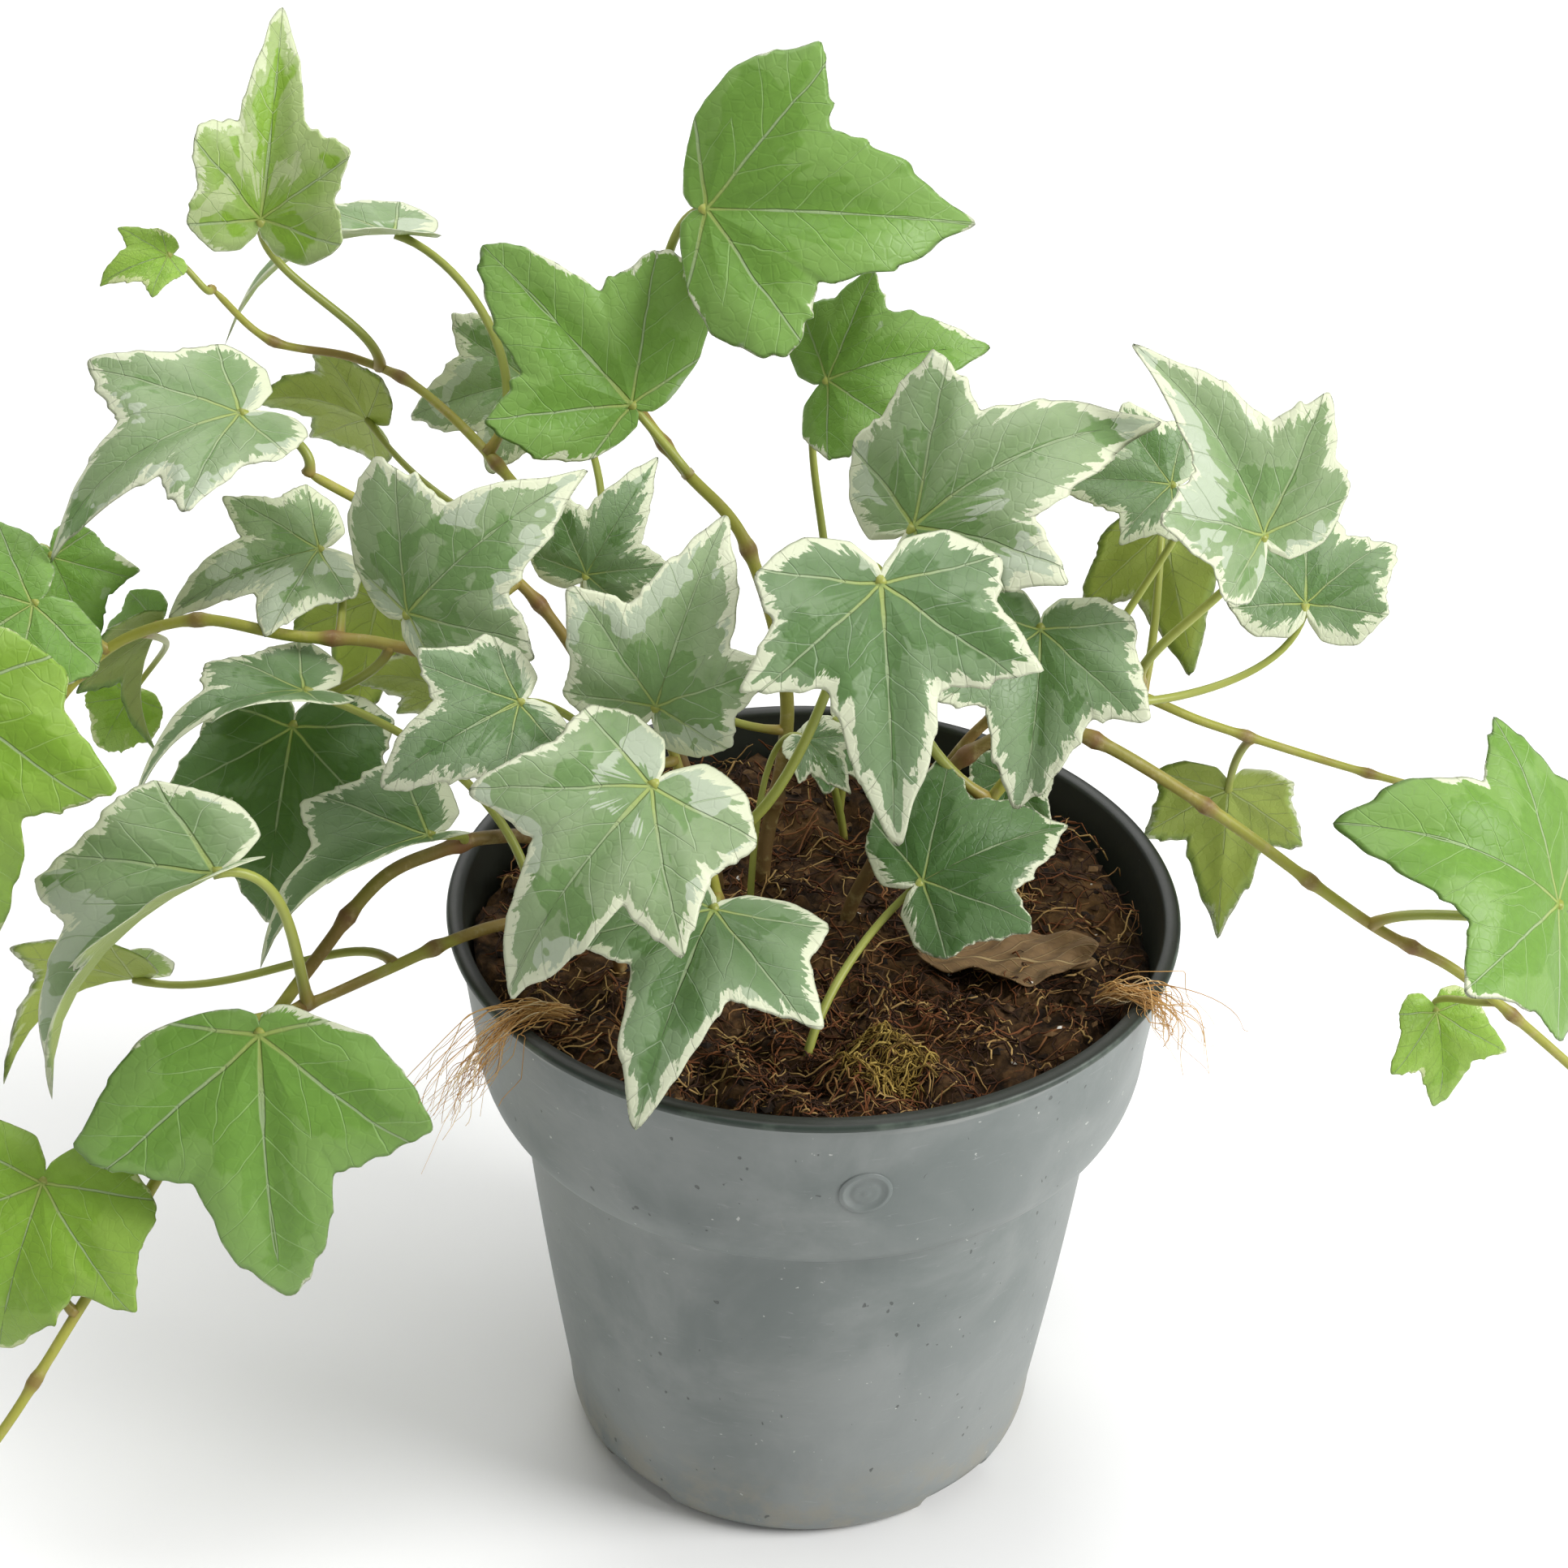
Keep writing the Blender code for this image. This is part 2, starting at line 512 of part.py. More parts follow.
def leaf_frame(joint, tip, faces_to):
    """The blade's directions: along the midrib, to its left, and out of its upper side."""
    forward = (tip - joint).normalized()
    turn, lift = (math.radians(value) for value in faces_to)
    up = Vector((math.cos(lift) * math.cos(turn), math.cos(lift) * math.sin(turn), math.sin(lift)))
    up = (up - forward * up.dot(forward)).normalized()
    return forward, up.cross(forward), up


def make_blade(name, joint, tip, faces_to, outline, fold, arch, material):
    forward, left, up = leaf_frame(joint, tip, faces_to)
    length = (tip - joint).length
    half = OUTLINES[outline]
    edge = [(math.radians(angle), reach) for angle, reach in half]
    edge += [(-math.radians(angle), reach) for angle, reach in reversed(half[1:])]
    points, faces = [joint.copy()], []
    for share in (INNER_RING, 1.0):
        for angle, reach in edge:
            a, b, c = blade_point(angle, reach * share, length, math.radians(fold), arch)
            points.append(joint + forward * a + left * b + up * c)
    count = len(edge)
    for number in range(count):
        after = (number + 1) % count
        faces.append((0, 1 + number, 1 + after))
        faces.append((1 + number, 1 + count + number, 1 + count + after))
        faces.append((1 + number, 1 + count + after, 1 + after))
    blade = add_object(name, mesh_from(name, points, faces), material)
    thicken(blade)
    return blade


def stalk_course(start, leave, joint, forward, up):
    """A bent course from the start, leaving that way, to the blade, which it meets from below."""
    reach = (joint - start).length
    second = start + leave * 0.35 * reach
    third = joint - (forward * 0.25 + up * 0.30) * reach
    course = []
    for number in range(PETIOLE_STEPS + 1):
        t = number / PETIOLE_STEPS
        course.append(start * (1 - t)**3 + second * 3 * t * (1 - t)**2
                      + third * 3 * t * t * (1 - t) + joint * t**3)
    return course


def make_leaf(name, courses, radii):
    source, share, joint, tip, faces_to, outline, fold, arch = LEAVES[name]
    joint, tip = placed(joint), placed(tip)
    forward, _, up = leaf_frame(joint, tip, faces_to)
    length = (tip - joint).length
    radius = PETIOLE_RADIUS + PETIOLE_TAPER * length
    cutters = []
    if source in courses:
        start, run = along(courses[source], share)
        leave = joint - start
        leave = (leave - run * leave.dot(run)).normalized()
        low, high = radii[source]
        start = start + leave * (low + (high - low) * share + GAP)
        course = stalk_course(start, leave, joint, forward, up)
    else:
        foot = placed((*source, 0))
        root = foot - Vector((0, 0, ROOTED_DEPTH))
        start = foot + Vector((0, 0, ROOTED_DEPTH / 2))
        course = [root, *stalk_course(start, Vector((0, 0, 1)), joint, forward, up)]
        cutters.append(socket(f"{name}_socket", foot, radius))
    course.append(joint + up * BLADE)
    blade = make_blade(name, joint, tip, faces_to, outline, fold, arch,
                       principled(name, LEAF_GREEN, 0.45))
    points, faces = tube(course, [radius] * len(course), PETIOLE_SIDES)
    stalk = helper(f"{name}_stalk", mesh_from(f"{name}_stalk", points, faces))
    boolean(blade, stalk, "UNION", solver="MANIFOLD")
    return cutters


def make_vines():
    courses, radii, cutters = {}, {}, []
    for name, (low, high, corners) in VINES.items():
        course = smooth_course([placed(corner) for corner in corners], VINE_STEP)
        shares = np.linspace(0, 1, len(course))
        widths = [(low + (high - low) * share) * MM for share in shares]
        points, faces = tube(course, widths, VINE_SIDES)
        add_object(name, mesh_from(name, points, faces), principled(name, (0.16, 0.12, 0.04), 0.6))
        courses[name] = course
        radii[name] = (low * MM, high * MM)
        cutters.append(socket(f"{name}_socket", placed((*corners[0][:2], 0)), low * MM))
    return courses, radii, cutters


def make_root_tufts():
    """Loose roots over the lip, each in one upright plane through the pot's axis."""
    for name, (direction, low, high, before_lip, beyond_lip) in ROOT_TUFTS.items():
        turn = math.radians(direction)
        wall = COLLAR_TOP_RADIUS - WALL
        places = [(wall + out * MM, POT_HEIGHT + rise * MM) for out, rise in before_lip]
        places += [(RIM_RADIUS + out * MM, POT_HEIGHT + rise * MM) for out, rise in beyond_lip]
        corners = [Vector((reach * math.cos(turn), reach * math.sin(turn), height))
                   for reach, height in places]
        course = smooth_course(corners, TUFT_STEP)
        widths = [(low + (high - low) * share) * MM for share in np.linspace(0, 1, len(course))]
        points, faces = tube(course, widths, VINE_SIDES)
        add_object(name, mesh_from(name, points, faces), principled(name, (0.30, 0.16, 0.05), 0.9))


def main():
    clear_scene()
    make_pot()
    courses, radii, cutters = make_vines()
    for name in LEAVES:
        cutters += make_leaf(name, courses, radii)
    make_soil(cutters)
    make_dead_leaf()
    make_root_tufts()


main()
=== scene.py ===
# %% [markdown]
# # A potted variegated ivy
# The plant is a plastic nursery pot of peat, ten rooted vines and their five-lobed leaves with cream
# edges. The frame is the fixed model of the same plant: it settles where each piece is. A frame could
# be shaded as it stands, but its leaves have only a few hundred flat faces, so this lesson makes each leaf,
# stem and the pot again as a finer surface in the same place and lets the frame's node step back.

# %% Load the frame
import math

import bpy
import numpy as np
from mathutils import Matrix, Vector


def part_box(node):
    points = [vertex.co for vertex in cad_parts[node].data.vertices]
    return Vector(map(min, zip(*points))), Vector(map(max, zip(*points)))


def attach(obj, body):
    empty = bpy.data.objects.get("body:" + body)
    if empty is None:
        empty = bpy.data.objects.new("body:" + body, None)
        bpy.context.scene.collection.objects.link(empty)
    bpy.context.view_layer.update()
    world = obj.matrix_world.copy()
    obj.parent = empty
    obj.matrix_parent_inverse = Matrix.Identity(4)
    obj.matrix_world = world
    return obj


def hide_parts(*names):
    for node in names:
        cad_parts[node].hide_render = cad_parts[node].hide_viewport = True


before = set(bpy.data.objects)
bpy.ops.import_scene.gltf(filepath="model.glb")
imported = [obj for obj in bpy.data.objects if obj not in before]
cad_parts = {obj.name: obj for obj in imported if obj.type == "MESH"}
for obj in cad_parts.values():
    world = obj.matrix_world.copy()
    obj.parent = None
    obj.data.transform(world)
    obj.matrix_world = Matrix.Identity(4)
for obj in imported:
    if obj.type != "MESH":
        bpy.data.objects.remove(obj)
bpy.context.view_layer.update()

MM = 0.001
POT_LOW, POT_HIGH = (np.array(corner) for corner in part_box("pot"))
POT_HEIGHT = POT_HIGH[2]
RIM_RADIUS = POT_HIGH[0]
SOIL_DROP = 0.0060
SOIL_TOP = POT_HEIGHT - SOIL_DROP
print(f"{len(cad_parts)} nodes, a pot {2 * RIM_RADIUS:.3f} m across and {POT_HEIGHT:.3f} m high")

# %% [markdown]
# ## From arrays to a mesh
# Every new piece is a surface worked out with numpy, so one helper turns arrays of points and faces
# into an object. Blender can also take Python lists, but whole arrays copied with foreach_set are
# quicker and keep the formulas free of loops. The helper also stores what the materials read: a flat
# map of the surface, and one number for each point, such as how far it is from the leaf's edge.

# %% Put arrays into a mesh


def put_piece(name, points, faces, materials, nodes=(), flat=None, numbers=None, kinds=None):
    """An object made of the points and of groups of faces, each an array of corner numbers.

    flat is one (u, v) for each point, numbers maps a name to one value for each point, and kinds
    is the material's number for each face.
    """
    corners = np.concatenate([group.reshape(-1) for group in faces]).astype(np.int32)
    sizes = np.concatenate([np.full(len(group), group.shape[1]) for group in faces])
    mesh = bpy.data.meshes.new(name)
    mesh.vertices.add(len(points))
    mesh.vertices.foreach_set("co", points.astype(np.float32).ravel())
    mesh.loops.add(len(corners))
    mesh.loops.foreach_set("vertex_index", corners)
    mesh.polygons.add(len(sizes))
    starts = np.concatenate([[0], np.cumsum(sizes)[:-1]]).astype(np.int32)
    mesh.polygons.foreach_set("loop_start", starts)
    mesh.polygons.foreach_set("use_smooth", np.ones(len(sizes), bool))
    for material in materials:
        mesh.materials.append(material)
    if kinds is not None:
        mesh.polygons.foreach_set("material_index", kinds.astype(np.int32))
    mesh.update(calc_edges=True)
    if flat is not None:
        layer = mesh.uv_layers.new(name="flat_map")
        layer.data.foreach_set("uv", flat[corners].astype(np.float32).ravel())
    for key, values in (numbers or {}).items():
        attribute = mesh.attributes.new(key, "FLOAT", "POINT")
        attribute.data.foreach_set("value", np.asarray(values, np.float32).ravel())
    piece = bpy.data.objects.new(name, mesh)
    bpy.context.scene.collection.objects.link(piece)
    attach(piece, "root")
    for node in nodes:
        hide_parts(node)
    return piece


def ring_faces(rows, columns, first=0):
    """Four-cornered faces between neighbouring rows of a grid whose rows close into rings."""
    row = np.arange(rows - 1)[:, None] * columns
    here = np.arange(columns)[None, :]
    after = (here + 1) % columns
    quads = np.stack([row + here, row + columns + here, row + columns + after, row + after], axis=-1)
    return quads.reshape(-1, 4) + first


def unit(vectors):
    """The vectors, each made one long."""
    return vectors / np.maximum(np.linalg.norm(vectors, axis=-1, keepdims=True), 1e-12)


# %% [markdown]
# ## Strands
# Vines, leaf stalks, loose roots and the fibres in the peat are all round strands on a bent course.
# A curve object with a bevel would do for one of them. Here one function carries a ring of points
# along many courses at once, because the peat alone has over two thousand fibres.

# %% Rings carried along courses


def strands(courses, radii, sides):
    """Closed round strands: points and faces for courses of shape (strands, steps, 3).

    Each ring lies across the course's direction. Its first axis is the cross product of that
    direction with the one direction that the course bends in least, so rings never twist.
    """
    count, steps, _ = courses.shape
    ahead = unit(np.gradient(courses, axis=1))
    still = np.linalg.svd(ahead, full_matrices=False)[2][:, 2][:, None, :]
    aside = unit(np.cross(ahead, still))
    above = np.cross(ahead, aside)
    turn = np.linspace(0, 2 * np.pi, sides, endpoint=False)[None, None, :, None]
    ring = np.cos(turn) * aside[:, :, None] + np.sin(turn) * above[:, :, None]
    points = courses[:, :, None] + ring * radii[:, :, None, None]
    row = (np.arange(steps - 1) * sides)[None, :, None]
    here = np.arange(sides)[None, None, :]
    after = (here + 1) % sides
    begin = (np.arange(count) * steps * sides)[:, None, None]
    now, beside = begin + row + here, begin + row + after
    quads = np.stack(np.broadcast_arrays(now, beside, beside + sides, now + sides), -1)
    foot = begin[:, 0] + np.arange(sides)[::-1]
    head = begin[:, 0] + (steps - 1) * sides + np.arange(sides)
    return points.reshape(-1, 3), [quads.reshape(-1, 4), foot, head]


def smooth_course(corners, steps):
    """A Catmull-Rom curve through the corners, read at even steps of its length."""
    corners = np.asarray(corners, float)
    padded = np.vstack([2 * corners[0] - corners[1], corners, 2 * corners[-1] - corners[-2]])
    a, b, c, d = (padded[n:len(padded) - 3 + n, None] for n in range(4))
    t = np.linspace(0, 1, 24, endpoint=False)[None, :, None]
    square = 2 * a - 5 * b + 4 * c - d
    cube = 3 * b - 3 * c + d - a
    curve = 0.5 * (2 * b + (c - a) * t + square * t**2 + cube * t**3)
    curve = np.vstack([curve.reshape(-1, 3), corners[-1:]])
    walked = np.concatenate([[0], np.cumsum(np.linalg.norm(np.diff(curve, axis=0), axis=1))])
    even = np.linspace(0, walked[-1], steps)
    return np.stack([np.interp(even, walked, curve[:, axis]) for axis in range(3)], axis=1)


def ripple(x, y, wavelength, waves, seed):
    """A bumpy height from -1 to 1 or so: a sum of sine waves in random directions."""
    draw = np.random.default_rng(seed)
    heading = draw.uniform(0, 2 * np.pi, waves)
    pitch = 2 * np.pi / (wavelength * draw.uniform(0.6, 1.7, waves))
    phase = draw.uniform(0, 2 * np.pi, waves)
    x, y = np.asarray(x)[..., None], np.asarray(y)[..., None]
    return np.sin((x * np.cos(heading) + y * np.sin(heading)) * pitch + phase).sum(-1) / math.sqrt(waves)


# %% [markdown]
# ## Writing a material
# A procedural finish is a small program of shader nodes. Joining nodes by hand in the editor is fine
# for one material; in a script a few short methods keep the sums readable. A value that is the same
# all over is set on the shader's own socket, and only what changes over the surface is linked.

# %% A short way to write shader nodes


class Finish:
    """A material whose nodes are written as sums. A link or a plain value fits any input."""

    def __init__(self, name):
        self.material = bpy.data.materials.new(name)
        self.material.use_nodes = True
        self.tree = self.material.node_tree
        self.tree.nodes.clear()
        self.shader = self.tree.nodes.new("ShaderNodeBsdfPrincipled")
        self.out = self.tree.nodes.new("ShaderNodeOutputMaterial")
        self.tree.links.new(self.shader.outputs[0], self.out.inputs["Surface"])

    def put(self, socket, value):
        if isinstance(value, bpy.types.NodeSocket):
            self.tree.links.new(value, socket)
        elif isinstance(value, tuple) and len(value) == 3 and socket.type == "RGBA":
            socket.default_value = (*value, 1.0)
        else:
            socket.default_value = value

    def math(self, operation, a, b=0.0, c=0.0):
        node = self.tree.nodes.new("ShaderNodeMath")
        node.operation = operation
        for socket, value in zip(node.inputs, (a, b, c)):
            self.put(socket, value)
        return node.outputs[0]

    def plus(self, a, b):
        return self.math("ADD", a, b)

    def minus(self, a, b):
        return self.math("SUBTRACT", a, b)

    def times(self, a, b):
        return self.math("MULTIPLY", a, b)

    def larger(self, a, b):
        return self.math("MAXIMUM", a, b)

    def step(self, value, low, high):
        """0 below low, 1 above high and a smooth rise between; low may be the larger."""
        node = self.tree.nodes.new("ShaderNodeMapRange")
        node.interpolation_type = "SMOOTHSTEP"
        for name, number in (("Value", value), ("From Min", low), ("From Max", high)):
            self.put(node.inputs[name], number)
        return node.outputs[0]

    def blend(self, share, a, b):
        """Colour a where share is 0 and colour b where it is 1."""
        node = self.tree.nodes.new("ShaderNodeMix")
        node.data_type = "RGBA"
        for number, value in ((0, share), (6, a), (7, b)):
            self.put(node.inputs[number], value)
        return node.outputs[2]

    def paint(self, colour, paint, share, strength):
        """The colour with paint laid over it where share is 1, as strongly as strength says."""
        return self.blend(self.times(share, strength), colour, paint)

    def noise(self, vector, scale, detail=3.0, roughness=0.5, distortion=0.0):
        node = self.tree.nodes.new("ShaderNodeTexNoise")
        self.put(node.inputs["Vector"], vector)
        for name, value in (("Scale", scale), ("Detail", detail), ("Roughness", roughness),
                            ("Distortion", distortion)):
            self.put(node.inputs[name], value)
        return node.outputs["Fac"]

    def cells(self, vector, scale, feature="DISTANCE_TO_EDGE"):
        node = self.tree.nodes.new("ShaderNodeTexVoronoi")
        node.feature = feature
        self.put(node.inputs["Vector"], vector)
        self.put(node.inputs["Scale"], scale)
        return node.outputs["Distance"]

    def place(self):
        """Where the point is on the object, in metres."""
        return self.tree.nodes.new("ShaderNodeTexCoord").outputs["Object"]

    def stretch(self, vector, scale):
        node = self.tree.nodes.new("ShaderNodeMapping")
        self.put(node.inputs["Vector"], vector)
        node.inputs["Scale"].default_value = scale
        return node.outputs[0]

    def flat(self):
        node = self.tree.nodes.new("ShaderNodeUVMap")
        node.uv_map = "flat_map"
        return node.outputs[0]

    def number(self, name):
        node = self.tree.nodes.new("ShaderNodeAttribute")
        node.attribute_name = name
        return node.outputs["Fac"]

    def split(self, vector):
        node = self.tree.nodes.new("ShaderNodeSeparateXYZ")
        self.put(node.inputs[0], vector)
        return node.outputs

    def join(self, x, y, z):
        node = self.tree.nodes.new("ShaderNodeCombineXYZ")
        for socket, value in zip(node.inputs, (x, y, z)):
            self.put(socket, value)
        return node.outputs[0]

    def surface(self, colour, roughness, bump=None, depth=0.0, **others):
        """Sets the Principled shader. The bump's depth is in metres."""
        self.put(self.shader.inputs["Base Color"], colour)
        self.put(self.shader.inputs["Roughness"], roughness)
        for name, value in others.items():
            self.put(self.shader.inputs[name.replace("_", " ")], value)
        if bump is not None:
            node = self.tree.nodes.new("ShaderNodeBump")
            node.inputs["Distance"].default_value = depth
            self.put(node.inputs["Height"], bump)
            self.tree.links.new(node.outputs[0], self.shader.inputs["Normal"])
        return self.material

    def glow_through(self, colour, share):
        """Lets a share of the light through a thin piece, tinted by the colour."""
        thin = self.tree.nodes.new("ShaderNodeBsdfTranslucent")
        self.put(thin.inputs["Color"], colour)
        mixed = self.tree.nodes.new("ShaderNodeMixShader")
        mixed.inputs[0].default_value = share
        self.tree.links.new(self.shader.outputs[0], mixed.inputs[1])
        self.tree.links.new(thin.outputs[0], mixed.inputs[2])
        self.tree.links.new(mixed.outputs[0], self.out.inputs["Surface"])


# %% [markdown]
# ## The pot's plastic
# A nursery pot is moulded from recycled polypropylene: a dull grey green with a darker, greener lip,
# a film of dried dust and faint scuffs. Its inside is painted near black as painted shade, with a band of
# painted shade under the ledge and a painted highlight above it. Cloudy noise on object coordinates gives
# the dust, a sharp threshold on finer noise gives specks, and noise stretched sideways gives the scuffs.

# %% The plastic
LIP_START = POT_HEIGHT - 0.0016
COLLAR_HEIGHT = 0.0325
COLLAR_FOOT = POT_HEIGHT - COLLAR_HEIGHT


def pot_plastic(name, dusty, inside_shade_colour):
    """Grey green plastic, dark from LIP_START up, and near black painted shade on points whose "inner"
    number is 1.
    """
    finish = Finish(name)
    place = finish.place()
    cloud = finish.noise(place, 42.0, 5.0, 0.6, 0.4)
    haze = finish.noise(place, 14.0, 2.0, 0.5)
    grain = finish.noise(place, 900.0, 2.0, 0.5)
    specks = finish.step(finish.noise(place, 760.0, 2.0, 0.55), 0.735, 0.765)
    squashed = finish.stretch(place, (1.0, 1.3, 0.8))
    pits = finish.step(finish.noise(squashed, 640.0, 1.0, 0.5), 0.755, 0.785)
    sideways = finish.stretch(place, (18.0, 18.0, 150.0))
    scuffs = finish.step(finish.noise(sideways, 6.0, 5.0, 0.7, 1.6), 0.60, 0.72)
    upright = finish.stretch(place, (140.0, 140.0, 25.0))
    fine = finish.step(finish.noise(upright, 4.0, 4.0, 0.7, 2.0), 0.66, 0.74)
    wear = finish.noise(place, 130.0, 4.0, 0.65)
    height = finish.split(place)[2]
    colour = finish.blend(finish.step(cloud, 0.30, 0.70), (0.140, 0.162, 0.154), (0.222, 0.240, 0.230))
    colour = finish.paint(colour, (0.30, 0.315, 0.31), finish.step(haze, 0.42, 0.66), 0.40)
    colour = finish.paint(colour, (0.34, 0.355, 0.345), scuffs, 0.7 * dusty)
    colour = finish.paint(colour, (0.30, 0.29, 0.23), fine, 0.40 * dusty)
    low = finish.times(finish.step(height, 0.020, 0.004), finish.step(wear, 0.40, 0.62))
    colour = finish.paint(colour, (0.30, 0.27, 0.20), low, 0.5)
    colour = finish.paint(colour, (0.055, 0.060, 0.055), pits, 0.7)
    colour = finish.paint(colour, (0.55, 0.56, 0.52), specks, 0.7)
    ragged = finish.math("MULTIPLY_ADD", finish.minus(wear, 0.5), 0.0009, height)
    # A pale line along the rolled edge just above the ledge, ragged by the wear noise: a painted highlight.
    painted_ledge_highlight = finish.times(finish.step(ragged, COLLAR_FOOT, COLLAR_FOOT + 0.0003),
                          finish.step(ragged, COLLAR_FOOT + 0.0014, COLLAR_FOOT + 0.0006))
    colour = finish.paint(colour, (0.36, 0.38, 0.37), painted_ledge_highlight, 0.50)
    # A dark band just under the collar's ledge: painted shade where the ledge shades the body below it.
    painted_ledge_shade = finish.times(finish.step(height, COLLAR_FOOT - 0.0016, COLLAR_FOOT - 0.0004),
                         finish.step(height, COLLAR_FOOT + 0.0002, COLLAR_FOOT))
    colour = finish.paint(colour, (0.050, 0.060, 0.056), painted_ledge_shade, 0.90)
    worn_line = finish.times(finish.step(ragged, LIP_START - 0.0019, LIP_START - 0.0015),
                            finish.step(ragged, LIP_START - 0.0008, LIP_START - 0.0011))
    worn_line = finish.times(worn_line, finish.step(haze, 0.38, 0.52))
    colour = finish.paint(colour, (0.42, 0.43, 0.40), worn_line, 0.8)
    lip = finish.step(ragged, LIP_START, LIP_START + 0.0003)
    dark = finish.blend(finish.step(wear, 0.42, 0.66), (0.020, 0.032, 0.023), (0.070, 0.092, 0.070))
    # The inside is painted near black: painted shade in the pot's hollow, not a colour of the plastic.
    lip_or_inside_shade = finish.blend(finish.number("inner"), dark, inside_shade_colour)
    colour = finish.blend(finish.larger(lip, finish.number("inner")), colour, lip_or_inside_shade)
    roughness = finish.math("MULTIPLY_ADD", cloud, 0.22, 0.36)
    bump = finish.math("MULTIPLY_ADD", grain, 0.25, finish.times(cloud, 0.8))
    bump = finish.math("MULTIPLY_ADD", pits, -1.0, bump)
    return finish.surface(colour, roughness, bump, 0.00008, Specular_IOR_Level=0.45)


# The last colour, near black, is the painted shade inside the pot.
plastic = pot_plastic("dusty_pot_plastic_painted_shade", 0.55, (0.014, 0.017, 0.012))
print("plastic nodes:", len(plastic.node_tree.nodes))

# %% [markdown]
# ## The pot
# The pot is a turned shape: a tapered body, a rolled shoulder, a flared collar and a small lip, with
# a wall about a millimetre thick and four low notches in its foot that let water out. The Screw
# modifier would turn the profile too. Here the profile is an array of radii and heights carried round
# a full circle, so the notches can be lifted out of the foot with one more line of the same sum.

# %% Pot dimensions and profile
LIP_THICKNESS = 0.0015
COLLAR_TOP_RADIUS = 0.0555
COLLAR_WAIST_RADIUS = 0.0530
COLLAR_FOOT_RADIUS = 0.0475
SHOULDER_HEIGHT = 0.0110
BODY_TOP_RADIUS = 0.0462
BODY_FOOT_RADIUS = 0.0385
BASE_RADIUS = 0.0343
CORNER_HEIGHT = 0.0090
WALL = 0.0012
FLOOR = 0.0015
NOTCH_HEIGHT = 0.0042
NOTCH_HALF_ANGLE = math.radians(12)
CRISP = 0.00015  # the distance between rows that keep an edge sharp


def pot_profile():
    """The outer profile from the base's middle up to the lip, then the inner one back down."""
    quarter = np.radians(np.linspace(0, 90, 12))
    corner = np.stack([BASE_RADIUS + (BODY_FOOT_RADIUS - BASE_RADIUS) * np.sin(quarter),
                       CORNER_HEIGHT * (1 - np.cos(quarter))], 1)
    lift = np.linspace(0, 1, 14)[1:, None]
    body = corner[-1] + (np.array([BODY_TOP_RADIUS, COLLAR_FOOT]) - corner[-1]) * lift
    body[:, 0] += 0.0004 * np.sin(np.pi * lift[:, 0])
    body[-1, 1] -= CRISP
    ledge = [(BODY_TOP_RADIUS + CRISP, COLLAR_FOOT), (COLLAR_FOOT_RADIUS - 2 * CRISP, COLLAR_FOOT),
             (COLLAR_FOOT_RADIUS - CRISP, COLLAR_FOOT + CRISP)]
    shoulder_out = COLLAR_FOOT_RADIUS + (COLLAR_WAIST_RADIUS - COLLAR_FOOT_RADIUS) * np.sin(quarter)
    shoulder_up = COLLAR_FOOT + 2 * CRISP + SHOULDER_HEIGHT * (1 - np.cos(quarter))
    shoulder = np.stack([shoulder_out, shoulder_up], 1)
    collar_top = np.array([COLLAR_TOP_RADIUS, POT_HEIGHT - LIP_THICKNESS])
    collar = shoulder[-1] + (collar_top - shoulder[-1]) * lift
    collar[-1, 1] -= CRISP
    under_lip = [(COLLAR_TOP_RADIUS + CRISP, POT_HEIGHT - LIP_THICKNESS)]
    turn = np.radians(np.linspace(-90, 90, 9))
    half = LIP_THICKNESS / 2
    lip = np.stack([RIM_RADIUS - half + half * np.cos(turn), POT_HEIGHT - half + half * np.sin(turn)], 1)
    inner = np.array([(COLLAR_TOP_RADIUS - WALL + 0.0004, POT_HEIGHT),
                      (COLLAR_TOP_RADIUS - WALL, POT_HEIGHT - 0.0006),
                      (COLLAR_WAIST_RADIUS - WALL, COLLAR_FOOT + SHOULDER_HEIGHT),
                      (BODY_TOP_RADIUS - WALL, COLLAR_FOOT - WALL),
                      (BODY_FOOT_RADIUS - WALL, CORNER_HEIGHT + FLOOR), (BASE_RADIUS - WALL, FLOOR)])
    middle = np.array([(BASE_RADIUS * share, 0.0) for share in (0.02, 0.5, 0.85, 0.97)])
    outer = np.vstack([middle, corner, body, ledge, shoulder, collar, under_lip, lip])
    floor = np.array([(BASE_RADIUS * share, FLOOR) for share in (0.85, 0.5, 0.02)])
    return np.vstack([outer, inner, floor]), len(outer)


# %% The pot's surface
POT_COLUMNS = 360


